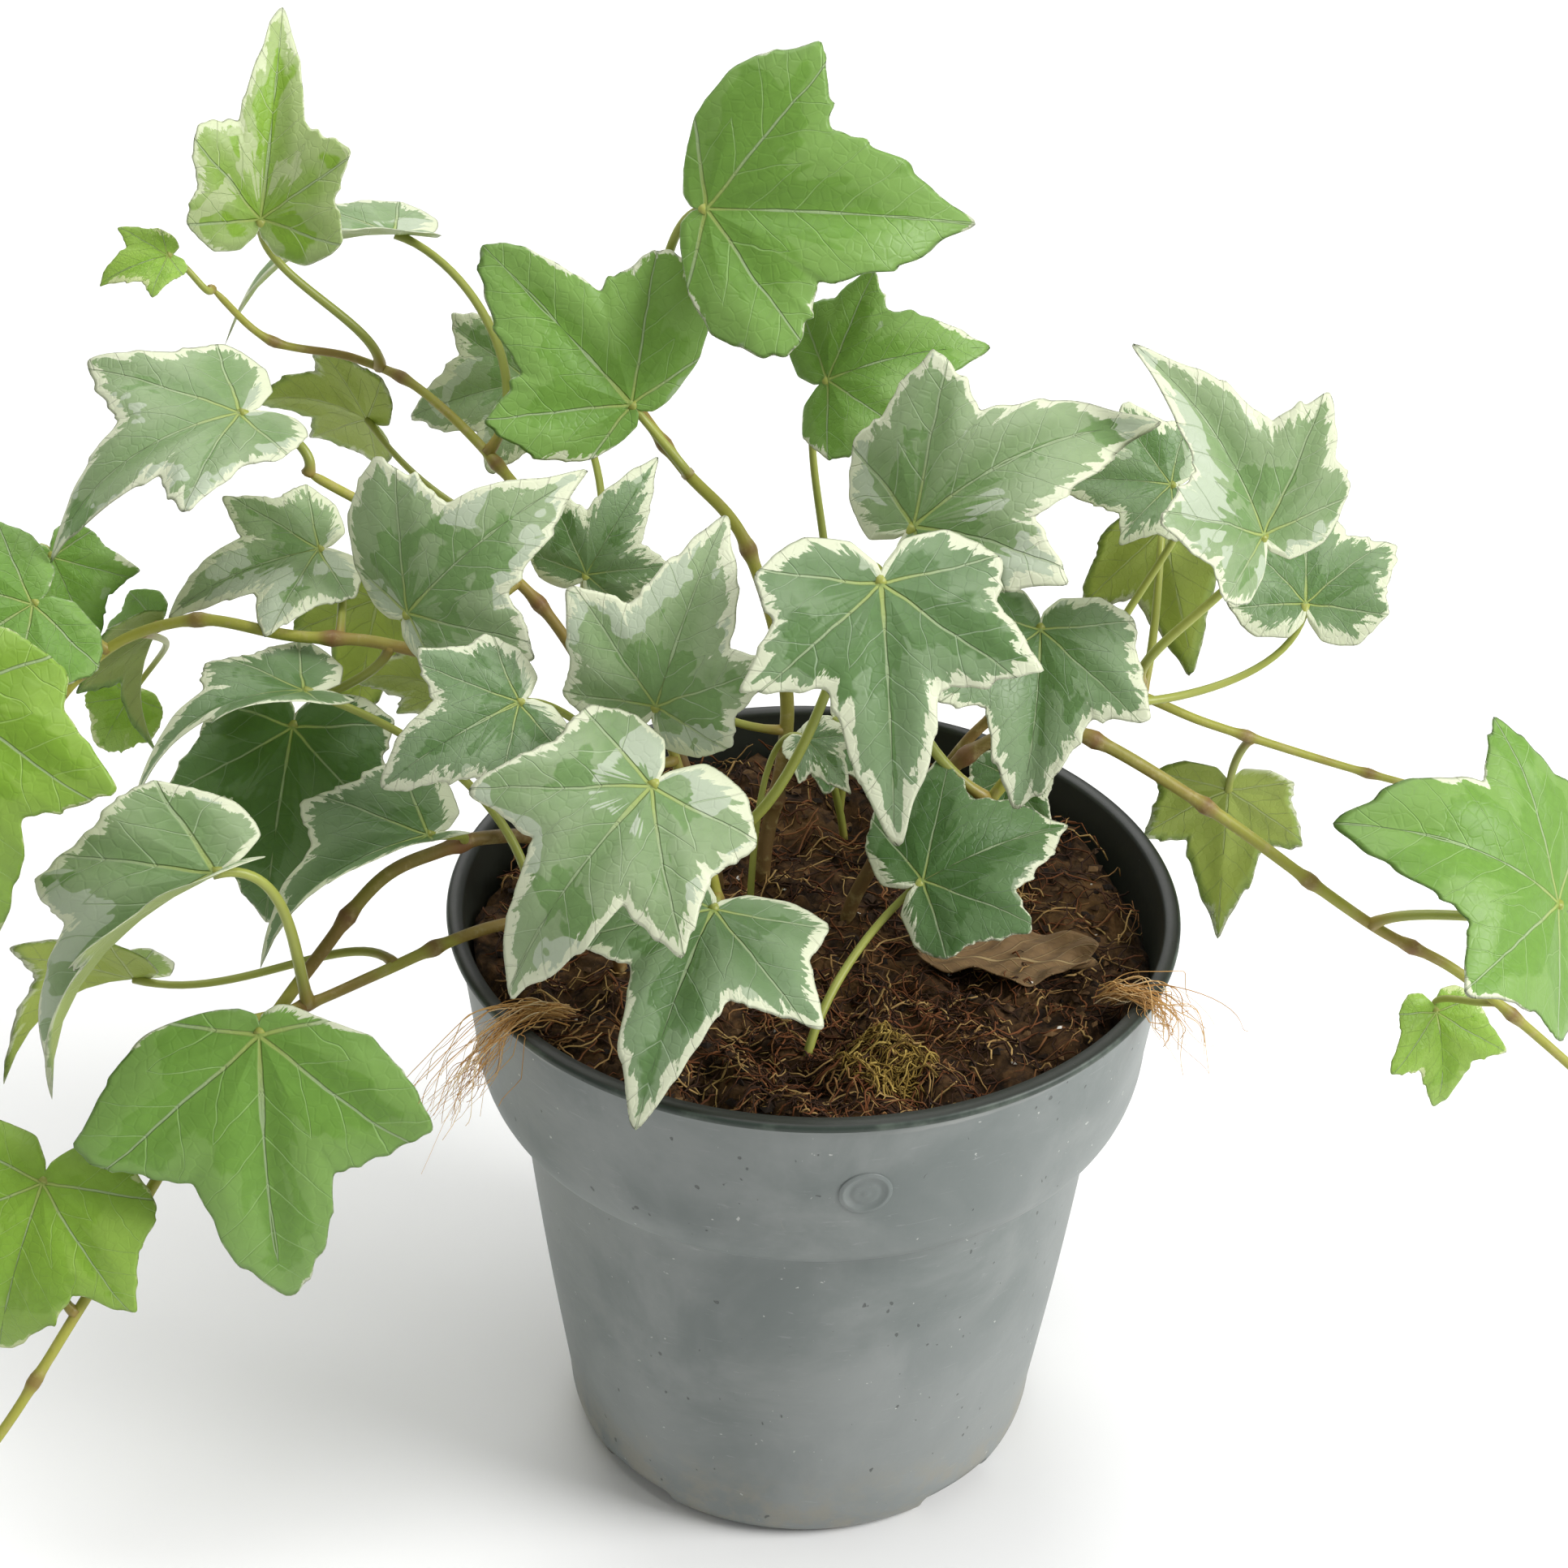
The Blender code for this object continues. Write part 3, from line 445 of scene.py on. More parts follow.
def make_pot():
    """Radius and height at (angle, place along the profile), with the foot lifted at each notch.

    A notch lifts every low point to a square arch: its height times (1 - (turn / half)^8)^(1/4).
    """
    profile, outer = pot_profile()
    turn = np.linspace(0, 2 * np.pi, POT_COLUMNS, endpoint=False)[None, :]
    radius, height = profile[:, 0][:, None], profile[:, 1][:, None]
    from_notch = (turn + np.pi / 2) % (np.pi / 2) - np.pi / 4
    arch = np.clip(1 - (from_notch / NOTCH_HALF_ANGLE) ** 8, 0, 1) ** 0.25
    inside = (np.arange(len(profile)) >= outer)[:, None]
    near_edge = np.clip((radius - 0.75 * BASE_RADIUS) / (0.2 * BASE_RADIUS), 0, 1)
    height = np.maximum(height, (NOTCH_HEIGHT + FLOOR * inside) * arch * near_edge)
    wobble = 1 + 0.0009 * np.sin(2 * turn + 0.7) + 0.0006 * np.sin(3 * turn + 2.0)
    points = np.stack([radius * np.cos(turn) * wobble, radius * np.sin(turn) * wobble,
                       height + 0 * turn], axis=-1)
    points[..., :2] *= np.minimum(1, RIM_RADIUS / np.linalg.norm(points[..., :2], axis=-1))[..., None]
    rows = len(profile)
    last = (rows - 1) * POT_COLUMNS
    faces = [ring_faces(rows, POT_COLUMNS)[:, ::-1], np.arange(POT_COLUMNS)[None, ::-1],
             last + np.arange(POT_COLUMNS)[None, :]]
    inner = np.repeat((np.arange(rows) >= outer - 2).astype(float), POT_COLUMNS)
    return put_piece("nursery_pot", points.reshape(-1, 3), faces, [plastic], ["pot"],
                     numbers={"inner": inner})


pot = make_pot()
print("pot faces:", len(pot.data.polygons))

# %% [markdown]
# ## The gate mark
# Where plastic ran into the mould, a round mark stays on the collar: a low disc with a ring and a pip
# in the middle. It could be a bump in the material, but real relief catches the light on its rim, so
# it is a small disc whose height is a sum of two soft rings, laid on the collar's cone.

# %% The gate mark
GATE_MARK_RADIUS = 0.0040
GATE_MARK_ANGLE = math.radians(-81)
GATE_MARK_DROP = 0.0150
GATE_MARK_COLUMNS = 56


def make_gate_mark():
    """A closed disc: relief = 0.28 mm at the rim, a groove inside it and a pip in the middle."""
    shares = np.concatenate([np.linspace(0.03, 1, 22), [1.03, 0.6]])[:, None]
    turn = np.linspace(0, 2 * np.pi, GATE_MARK_COLUMNS, endpoint=False)[None, :]
    ring = 0.16 * np.exp(-((shares - 0.86) / 0.07) ** 2)
    groove = 0.16 * np.exp(-((shares - 0.6) / 0.12) ** 2)
    pip = 0.12 * np.exp(-((shares - 0.05) / 0.12) ** 2)
    relief = 0.12 + ring - groove + pip + 0.02 * np.sin(3 * turn) * shares
    relief[-2:] = -0.3
    wall_share = 1 - (GATE_MARK_DROP - LIP_THICKNESS) / (COLLAR_HEIGHT - SHOULDER_HEIGHT - LIP_THICKNESS)
    across = GATE_MARK_RADIUS * shares * np.cos(turn)
    up = GATE_MARK_RADIUS * shares * np.sin(turn)
    slope = (COLLAR_TOP_RADIUS - COLLAR_WAIST_RADIUS) / (COLLAR_HEIGHT - SHOULDER_HEIGHT)
    wall = COLLAR_WAIST_RADIUS + (COLLAR_TOP_RADIUS - COLLAR_WAIST_RADIUS) * wall_share + slope * up
    radius = wall + relief * MM
    angle = GATE_MARK_ANGLE + across / wall
    points = np.stack([radius * np.cos(angle), radius * np.sin(angle), POT_HEIGHT - GATE_MARK_DROP + up],
                      -1)
    rows, columns = points.shape[:2]
    last = (rows - 1) * columns
    faces = [ring_faces(rows, columns), np.arange(columns)[None, :],
             last + np.arange(columns)[None, ::-1]]
    scuffed = pot_plastic("scuffed_pot_plastic", 2.0, (0.02, 0.03, 0.02))
    return put_piece("gate_mark", points.reshape(-1, 3), faces, [scuffed],
                     numbers={"inner": np.zeros(rows * columns)})


gate_mark = make_gate_mark()
print("gate mark stands", round(1000 * (gate_mark.dimensions.z), 1), "mm high")

# %% [markdown]
# ## Peat
# The pot is filled with dark peat: crumbs, coarse brown and straw coloured fibres, a few white grains
# and a small mossy clump. Displacement could rough up a disc, but the crumbs show best as real bumps,
# so the top is a height field made of several ripples of falling wavelength, and the fibres are laid
# on it as thin strands.

# %% The peat's finish


def peat_finish():
    finish = Finish("dark_peat")
    place = finish.place()
    clods = finish.noise(place, 260.0, 6.0, 0.65, 0.5)
    patches = finish.noise(place, 55.0, 3.0, 0.5)
    crumbs = finish.cells(place, 900.0, "F1")
    colour = finish.blend(finish.step(clods, 0.34, 0.68), (0.012, 0.007, 0.004), (0.085, 0.043, 0.016))
    colour = finish.paint(colour, (0.16, 0.085, 0.028), finish.step(patches, 0.52, 0.68), 0.45)
    straw = finish.step(finish.noise(finish.stretch(place, (900.0, 260.0, 500.0)), 1.0, 4.0, 0.6, 1.5),
                        0.66, 0.72)
    colour = finish.paint(colour, (0.30, 0.17, 0.06), straw, 0.7)
    bump = finish.plus(clods, finish.times(crumbs, 0.4))
    return finish.surface(colour, 0.95, bump, 0.0006, Specular_IOR_Level=0.2)


# %% The peat's surface
SOIL_RELIEF = 0.0011
SOIL_WALL_GAP = 0.0014
SOIL_EDGE_DROP = 0.0035
MOSS_CENTRE = (0.011, -0.036)
SOIL_COLUMNS = 200
PLUG_TOP_DROP = 0.008
# the plug below stays clear of the wall by 0.4 to 1.1 mm
PLUG_RADII = (0.0523, 0.0512, BODY_TOP_RADIUS - 0.0020, BODY_FOOT_RADIUS - 0.0020, 0.0320)
SOIL_ROWS = 60


def soil_height(x, y):
    """The frame's low swells, in metres above the ground."""
    waves = np.sin(x / 0.011 + 1.0) * np.cos(y / 0.009) + 0.5 * np.sin(x / 0.006 - y / 0.008 + 2.0)
    return SOIL_TOP + SOIL_RELIEF * waves / 1.5


def crumbly_height(x, y):
    """The swells with crumbs of 9, 4 and 1.8 mm on them, and a lump where the moss grows."""
    moss = 0.0030 * np.exp(-(((x - MOSS_CENTRE[0]) / 0.0055) ** 2 + ((y - MOSS_CENTRE[1]) / 0.0050) ** 2))
    crumbs = 0.0009 * ripple(x, y, 0.009, 10, 11) + 0.0006 * np.abs(ripple(x, y, 0.004, 12, 12))
    return soil_height(x, y) + moss + crumbs + 0.00035 * ripple(x, y, 0.0018, 14, 13)


def make_soil(finish):
    """A round height field out to the wall, dropping at its edge, and a plug of peat below it."""
    wall = COLLAR_TOP_RADIUS - WALL - SOIL_WALL_GAP
    shares = np.concatenate([[0.004], np.linspace(0, 1, SOIL_ROWS)[1:]])[:, None]
    turn = np.linspace(0, 2 * np.pi, SOIL_COLUMNS, endpoint=False)[None, :]
    x, y = wall * shares * np.cos(turn), wall * shares * np.sin(turn)
    gap = SOIL_EDGE_DROP * np.clip((shares - 0.90) / 0.10, 0, 1) ** 1.5
    z = crumbly_height(x, y) - gap * (1 + 0.5 * np.sin(3 * turn + 1.0) + 0.3 * np.sin(7 * turn))
    top = np.stack([x, y, z], -1)
    levels = np.array([SOIL_TOP - PLUG_TOP_DROP, COLLAR_FOOT + SHOULDER_HEIGHT, COLLAR_FOOT - WALL,
                       CORNER_HEIGHT + FLOOR, 2.5 * FLOOR + NOTCH_HEIGHT])
    inner = np.array(PLUG_RADII)
    ring = np.stack([np.cos(turn[0]), np.sin(turn[0])], -1)
    rings = inner[:, None, None] * ring[None]
    heights = np.broadcast_to(levels[:, None, None], (len(levels), SOIL_COLUMNS, 1))
    below = np.concatenate([rings, heights], -1)
    points = np.concatenate([top, below]).reshape(-1, 3)
    rows = SOIL_ROWS + len(levels)
    last = (rows - 1) * SOIL_COLUMNS
    faces = [ring_faces(rows, SOIL_COLUMNS), np.arange(SOIL_COLUMNS)[None, :],
             last + np.arange(SOIL_COLUMNS)[None, ::-1]]
    return put_piece("peat", points, faces, [finish], ["soil"])


peat = make_soil(peat_finish())
print("peat faces:", len(peat.data.polygons))

# %% [markdown]
# ## Fibres, moss and grains
# The fibres lie every way on the peat, bent and lifted a little. Particle hair would scatter them,
# but a strand is only a short curve, so all of them are worked out together: a middle point, a
# heading, a bend and a length each. A number for each strand picks its colour between dark brown,
# red brown and straw.

# %% The fibres' finish


def fibre_finish(name, dark, middle, pale):
    """Dull plant fibre whose colour runs from dark to pale with its "tint" number."""
    finish = Finish(name)
    tint = finish.number("tint")
    fleck = finish.noise(finish.place(), 900.0, 3.0, 0.6)
    colour = finish.blend(finish.step(tint, 0.15, 0.55), dark, middle)
    colour = finish.blend(finish.step(tint, 0.60, 0.95), colour, pale)
    colour = finish.paint(colour, dark, fleck, 0.5)
    return finish.surface(colour, 0.85, Specular_IOR_Level=0.25)


# %% Scatter the fibres
PEAT_LIMIT = 0.0515
FIBRE_RADII = (0.00007, 0.00022)
FIBRE_STEPS = 7
FIBRE_SIDES = 3
ABOVE_PEAT = 0.0002


def scatter_fibres(name, count, centre, spread, lengths, lift, seed, finish):
    """Bent strands on the peat: middle + heading * s + sideways * bend * s^2, with s from -0.5 to 0.5."""
    draw = np.random.default_rng(seed)
    turn = draw.uniform(0, 2 * np.pi, count)
    out = spread * np.sqrt(draw.uniform(0, 1, count))
    middle = np.stack([centre[0] + out * np.cos(turn), centre[1] + out * np.sin(turn)], -1)
    heading = draw.uniform(0, 2 * np.pi, count)
    length = draw.uniform(*lengths, count)
    bend = draw.uniform(-0.7, 0.7, count) * length
    s = np.linspace(-0.5, 0.5, FIBRE_STEPS)[None, :]
    along = length[:, None] * s
    aside = bend[:, None] * (s**2 - 0.08) + 0.05 * length[:, None] * np.sin(9 * s + turn[:, None])
    x = middle[:, :1] + np.cos(heading)[:, None] * along - np.sin(heading)[:, None] * aside
    y = middle[:, 1:] + np.sin(heading)[:, None] * along + np.cos(heading)[:, None] * aside
    reach = np.hypot(x, y)
    x, y = x * np.minimum(1, PEAT_LIMIT / reach), y * np.minimum(1, PEAT_LIMIT / reach)
    rise = draw.uniform(0, lift, (count, 1)) * (1 - 2 * s**2) + draw.uniform(-1, 1, (count, 1)) * lift * s
    z = crumbly_height(x, y) + ABOVE_PEAT + np.abs(rise)
    radius = draw.uniform(*FIBRE_RADII, (count, 1)) * (1 - 1.2 * s**2)
    points, faces = strands(np.stack([x, y, z], -1), radius, FIBRE_SIDES)
    tint = np.repeat(draw.uniform(0, 1, count) ** 1.3, FIBRE_STEPS * FIBRE_SIDES)
    return put_piece(name, points, faces, [finish], numbers={"tint": tint})


peat_fibre = fibre_finish("peat_fibre", (0.035, 0.015, 0.007), (0.190, 0.065, 0.020), (0.50, 0.33, 0.12))
moss_fibre = fibre_finish("moss_fibre", (0.100, 0.060, 0.012), (0.290, 0.190, 0.035), (0.52, 0.38, 0.10))
fibres = scatter_fibres("peat_fibres", 1500, (0.0, 0.0), 0.051, (0.003, 0.011), 0.0010, 21, peat_fibre)
coarse = scatter_fibres("peat_fibres_front", 500, (0.008, -0.032), 0.020, (0.003, 0.009), 0.0016, 22,
                        peat_fibre)
moss = scatter_fibres("moss_clump", 420, MOSS_CENTRE, 0.0068, (0.002, 0.0055), 0.0020, 23, moss_fibre)
print("fibres:", len(fibres.data.polygons) + len(coarse.data.polygons) + len(moss.data.polygons), "faces")

# %% White grains and bark chips


def scatter_chips(name, count, size, seed, colours, limit):
    """Small eight-sided chips: a stretched octahedron each, turned and set half into the peat."""
    draw = np.random.default_rng(seed)
    corners = np.array([(1, 0, 0), (-1, 0, 0), (0, 1, 0), (0, -1, 0), (0, 0, 1), (0, 0, -1)], float)
    faces = np.array([(0, 2, 4), (2, 1, 4), (1, 3, 4), (3, 0, 4), (2, 0, 5), (1, 2, 5), (3, 1, 5),
                      (0, 3, 5)])
    turn = draw.uniform(0, 2 * np.pi, count)
    out = limit * np.sqrt(draw.uniform(0, 1, count))
    x, y = out * np.cos(turn), out * np.sin(turn)
    scale = draw.uniform(0.35, 1.0, (count, 1, 3)) * size
    heading = draw.uniform(0, 2 * np.pi, count)[:, None]
    local = corners[None] * scale * draw.uniform(0.8, 1.2, (count, 6, 1))
    px = np.cos(heading) * local[..., 0] - np.sin(heading) * local[..., 1] + x[:, None]
    py = np.sin(heading) * local[..., 0] + np.cos(heading) * local[..., 1] + y[:, None]
    pz = local[..., 2] * 0.6 + crumbly_height(x, y)[:, None] + ABOVE_PEAT
    points = np.stack([px, py, pz], -1).reshape(-1, 3)
    groups = (faces[None] + 6 * np.arange(count)[:, None, None]).reshape(-1, 3)
    tint = np.repeat(draw.uniform(0, 1, count), 6)
    piece = put_piece(name, points, [groups], [fibre_finish(name, *colours)],
                      numbers={"tint": tint})
    piece.data.polygons.foreach_set("use_smooth", np.zeros(len(groups), bool))
    return piece


BARK_COLOURS = ((0.012, 0.007, 0.004), (0.060, 0.030, 0.012), (0.18, 0.10, 0.04))
GRAIN_COLOURS = ((0.45, 0.42, 0.36), (0.62, 0.60, 0.54), (0.75, 0.74, 0.70))
chips = scatter_chips("bark_chips", 700, 0.0012, 31, BARK_COLOURS, 0.050)
grains = scatter_chips("white_grains", 46, 0.0006, 32, GRAIN_COLOURS, 0.049)
print("chips and grains:", len(chips.data.polygons) + len(grains.data.polygons), "faces")

# %% [markdown]
# ## The dead leaf
# A dry brown leaf lies on the peat at the right. It is a thin sheet, so it is a grid over an oval,
# with a crease along its middle, wrinkles and edges that curl up. Cloth would give the curl as well,
# but a leaf this small is settled by three sine terms.

# %% The dead leaf
DEAD_LEAF_LENGTH = 0.027
DEAD_LEAF_WIDTH = 0.014
DEAD_LEAF_CENTRE = (0.030, -0.009)
DEAD_LEAF_LIFT = 0.0018
DEAD_LEAF_CURL = 0.0022
DEAD_LEAF_THICKNESS = 0.00025
DEAD_LEAF_ROWS = 61
DEAD_LEAF_COLUMNS = 31


def make_dead_leaf():
    """Height = peat + lift + curl * (s^2 + t^2) / 2 + a rise at the sides + wrinkles, over an oval."""
    finish = Finish("dry_leaf")
    flat = finish.flat()
    blotch = finish.noise(flat, 5.0, 5.0, 0.6, 0.6)
    along, across, _ = finish.split(flat)
    slant = finish.plus(along, finish.times(finish.math("ABSOLUTE", across), -0.7))
    rib = finish.step(finish.math("PINGPONG", slant, 0.11), 0.018, 0.004)
    middle = finish.step(finish.math("ABSOLUTE", across), 0.05, 0.02)
    colour = finish.blend(blotch, (0.085, 0.048, 0.020), (0.240, 0.145, 0.058))
    veins = finish.larger(finish.times(rib, 0.5), middle)
    colour = finish.blend(veins, colour, (0.34, 0.24, 0.11))
    bump = finish.plus(blotch, veins)
    dry = finish.surface(colour, 0.7, bump, 0.0003, Specular_IOR_Level=0.35)
    s = np.linspace(-1, 1, DEAD_LEAF_ROWS)[:, None]
    t = np.linspace(-1, 1, DEAD_LEAF_COLUMNS)[None, :]
    oval = np.sqrt(np.maximum(1.04 - s * s, 0))
    half = 0.5 * DEAD_LEAF_WIDTH * oval * (1 + 0.10 * np.sin(7 * s + 1) * np.abs(t))
    x = DEAD_LEAF_CENTRE[0] + 0.5 * DEAD_LEAF_LENGTH * s + 0.0006 * np.sin(5 * t + 3 * s)
    y = DEAD_LEAF_CENTRE[1] + half * t
    wrinkle = 0.0006 * np.sin(6 * s + 3 * t) * (0.3 + t**2) + 0.0003 * np.sin(15 * s - 8 * t)
    curl = DEAD_LEAF_CURL * 0.5 * (s**2 + t**2) + 0.0005 * np.abs(t)
    z = soil_height(x, y) + DEAD_LEAF_LIFT + curl + wrinkle
    top = np.stack([x + 0 * t, y, z], -1)
    flat_top = np.stack(np.broadcast_arrays(s, t), -1)
    points = np.concatenate([top, top[:, ::-1] - (0, 0, DEAD_LEAF_THICKNESS)], axis=1).reshape(-1, 3)
    uv = np.concatenate([flat_top, flat_top[:, ::-1]], axis=1).reshape(-1, 2)
    rows, columns = DEAD_LEAF_ROWS, 2 * DEAD_LEAF_COLUMNS
    last = (rows - 1) * columns
    pairs = np.arange(columns // 2 - 1)
    cap = np.stack([pairs, pairs + 1, columns - 2 - pairs, columns - 1 - pairs], -1)
    faces = [ring_faces(rows, columns), cap, last + cap[:, ::-1]]
    return put_piece("dead_leaf_on_peat", points, faces, [dry], ["dead_leaf"], flat=uv)


dead_leaf = make_dead_leaf()
print("dead leaf:", len(dead_leaf.data.polygons), "faces")

# %% [markdown]
# ## Loose roots over the rim
# Two wisps of dry root hang out over the lip. The frame holds each as one bent rod; here each is a
# bundle of fine strands that share the rod's course near the pot and spread towards the free end.

# %% The root wisps
ROOT_TUFTS = {
    "root_tuft_left": (-142, ((-7, -1.6), (-2, 1.8)), ((1, 2.6), (7, 0), (12, -5), (17, -11))),
    "root_tuft_right": (-26, ((-5, -1.6), (-1, 1.6)), ((0.5, 2.2), (4, 0.4), (7, -4))),
}
ROOT_FIBRES = 70
WISP_STEPS = 22
WISP_SIDES = 4
WISP_SPREAD = (0.0046, 0.0046, 0.0030)
WISP_THICKNESS = (0.0009, 0.0009, 0.0003)
WISP_CURL = 0.0019
WISP_RADII = (0.00005, 0.00016)
ABOVE_LIP = 0.0003
root_fibre = fibre_finish("root_fibre", (0.44, 0.23, 0.07), (0.70, 0.44, 0.17), (0.84, 0.70, 0.44))


def plant_place(point):
    """A place given in millimetres from the middle of the peat's surface, in metres."""
    return np.asarray(point, float) * MM + np.array((0, 0, SOIL_TOP))


def make_root_wisp(node, direction, before_lip, beyond_lip, seed):
    """Strands at course + spread * s^1.1 * own direction + a small curl of sines along s."""
    draw = np.random.default_rng(seed)
    turn = math.radians(direction)
    reach = [COLLAR_TOP_RADIUS - WALL + out * MM for out, _ in before_lip]
    reach += [RIM_RADIUS + out * MM for out, _ in beyond_lip]
    rise = [POT_HEIGHT + up * MM for _, up in before_lip + beyond_lip]
    corners = [(r * math.cos(turn), r * math.sin(turn), z) for r, z in zip(reach, rise)]
    course = smooth_course(corners, WISP_STEPS)[None]
    s = np.linspace(0, 1, WISP_STEPS)[None, :, None]
    own = draw.normal(0, 1, (ROOT_FIBRES, 1, 3)) * WISP_SPREAD
    bundle = draw.normal(0, 1, (ROOT_FIBRES, 1, 3)) * WISP_THICKNESS
    curl = np.sin(s * draw.uniform(4, 13, (ROOT_FIBRES, 1, 3)) + draw.uniform(0, 6, (ROOT_FIBRES, 1, 3)))
    length = draw.uniform(0.25, 0.95, (ROOT_FIBRES, 1, 1))
    paths = course + bundle + own * s**1.1 * length + WISP_CURL * curl * s
    paths = paths[:, :1] + (paths - paths[:, :1]) * (0.4 + 0.6 * length)
    out = np.linalg.norm(paths[..., :2], axis=-1)
    over_lip = (out > COLLAR_TOP_RADIUS - 2 * WALL) & (out < RIM_RADIUS + 0.5 * WALL)
    paths[..., 2] = np.where(over_lip, np.maximum(paths[..., 2], POT_HEIGHT + ABOVE_LIP), paths[..., 2])
    radius = draw.uniform(*WISP_RADII, (ROOT_FIBRES, 1)) * (1 - 0.6 * s[..., 0])
    points, faces = strands(paths, radius, WISP_SIDES)
    tint = np.repeat(draw.uniform(0, 1, ROOT_FIBRES), WISP_STEPS * WISP_SIDES)
    return put_piece(f"{node}_fibres", points, faces, [root_fibre], [node],
                     numbers={"tint": tint})


for number, (node, values) in enumerate(ROOT_TUFTS.items()):
    wisp = make_root_wisp(node, *values, 41 + number)
    print(wisp.name, len(wisp.data.polygons), "faces")

# %% [markdown]
# ## Vines
# Ivy stems are round and a little knobbly: they thicken at each joint where a leaf grows, bend there,
# and go from brown bark near the root to olive and red brown at the young end. Each course is the
# frame's, as corners in millimetres; the radius is a smooth taper with a soft bump at every joint.

# %% Vine courses
VINES = {
    "vine_crown": (1.3, 0.6, ((-16, 12, -8), (-16, 12, 4), (-26, 20, 30), (-46, 34, 56), (-62, 45, 68),
                              (-74, 50, 72), (-87, 48, 76), (-95, 45, 86))),
    "vine_back": (1.4, 0.9, ((-8, 14, -8), (-8, 14, 4), (-5, 20, 30), (-12, 26, 54), (-22, 32, 64),
                             (-32, 40, 74))),
    "vine_left_upper": (1.2, 0.8, ((-22, 4, -8), (-22, 4, 4), (-34, 10, 36), (-46, 14, 53),
                                   (-58, 15, 60), (-70, 17, 65), (-78, 18, 69))),
    "vine_left_middle": (1.3, 0.8, ((-24, -4, -8), (-24, -4, 4), (-36, 0, 30), (-50, 4, 42),
                                    (-66, 4, 48), (-80, 4, 49), (-94, 6, 50), (-106, 8, 45),
                                    (-114, 6, 38), (-120, -2, 30), (-124, -10, 26))),
    "vine_left_rim": (1.2, 0.8, ((-30, -12, -8), (-30, -12, 3), (-37, -13, 9), (-46, -16, 11),
                                 (-55, -21, 11), (-65, -27, 9), (-76, -32, 6), (-85, -36, 6))),
    "vine_trailing": (1.3, 0.8, ((-32, 0, -8), (-32, 0, 4), (-41, -3, 17), (-50, -6, 20),
                                 (-57, -10, 20), (-65, -15, 18), (-73, -22, 10), (-82, -31, 1),
                                 (-95, -42, -15), (-107, -52, -33), (-116, -62, -46),
                                 (-127, -72, -58))),
    "vine_right_main": (1.3, 0.8, ((6, 2, -8), (6, 2, 4), (16, 5, 22), (28, 8, 32), (40, 8, 33),
                                   (62, 6, 20), (88, 4, 1), (103, 4, -8), (122, 2, -24),
                                   (135, 0, -37))),
    "vine_right_upper": (1.1, 0.6, ((12, 14, -8), (12, 14, 4), (24, 17, 26), (36, 17, 35),
                                    (47, 16, 36), (60, 15, 31), (76, 16, 25), (99, 18, 17))),
    "vine_right_crown": (1.2, 0.9, ((18, -4, -8), (18, -4, 4), (24, -2, 22), (33, 0, 35), (42, 2, 42),
                                    (48, 4, 45))),
    "vine_front": (1.3, 0.8, ((-14, -12, -8), (-14, -12, 4), (-15, -13, 16), (-19, -11, 30),
                              (-23, -8, 42))),
}

# %% Bark and stalk finishes


def bark_finish():
    """Brown bark near the root, olive further on and red brown at the joints and the tip."""
    finish = Finish("vine_bark")
    age = finish.number("age")
    place = finish.place()
    fleck = finish.noise(place, 420.0, 4.0, 0.65)
    lines = finish.noise(finish.stretch(place, (1.0, 1.0, 0.25)), 1500.0, 2.0, 0.5)
    patch = finish.noise(place, 60.0, 2.0, 0.5)
    colour = finish.blend(finish.step(age, 0.15, 0.55), (0.150, 0.090, 0.028), (0.330, 0.330, 0.050))
    colour = finish.paint(colour, (0.235, 0.130, 0.040), finish.step(patch, 0.50, 0.66), 0.7)
    colour = finish.paint(colour, (0.170, 0.070, 0.032), finish.number("knot"), 0.75)
    colour = finish.paint(colour, (0.40, 0.33, 0.14), finish.step(fleck, 0.50, 0.70), 0.5)
    bump = finish.plus(fleck, finish.times(lines, 0.5))
    return finish.surface(colour, 0.52, bump, 0.00012, Specular_IOR_Level=0.4)


def stalk_finish():
    """Smooth olive yellow stalk, a little redder where it leaves the vine."""
    finish = Finish("leaf_stalk")
    patch = finish.noise(finish.place(), 70.0, 3.0, 0.5)
    colour = finish.blend(patch, (0.190, 0.235, 0.035), (0.420, 0.440, 0.095))
    colour = finish.paint(colour, (0.260, 0.140, 0.035), finish.number("knot"), 0.7)
    return finish.surface(colour, 0.42, finish.noise(finish.place(), 900.0, 2.0), 0.00005,
                          Specular_IOR_Level=0.45)


bark = bark_finish()
stalk_green = stalk_finish()

# %% Make the vines
VINE_SIDES = 14
VINE_STEPS = 150
FIRST_JOINT = 0.022
JOINT_SPACING = 0.021
JOINT_HALF_LENGTH = 0.0014
JOINT_SWELL = 0.42
ZIGZAG = 0.0007


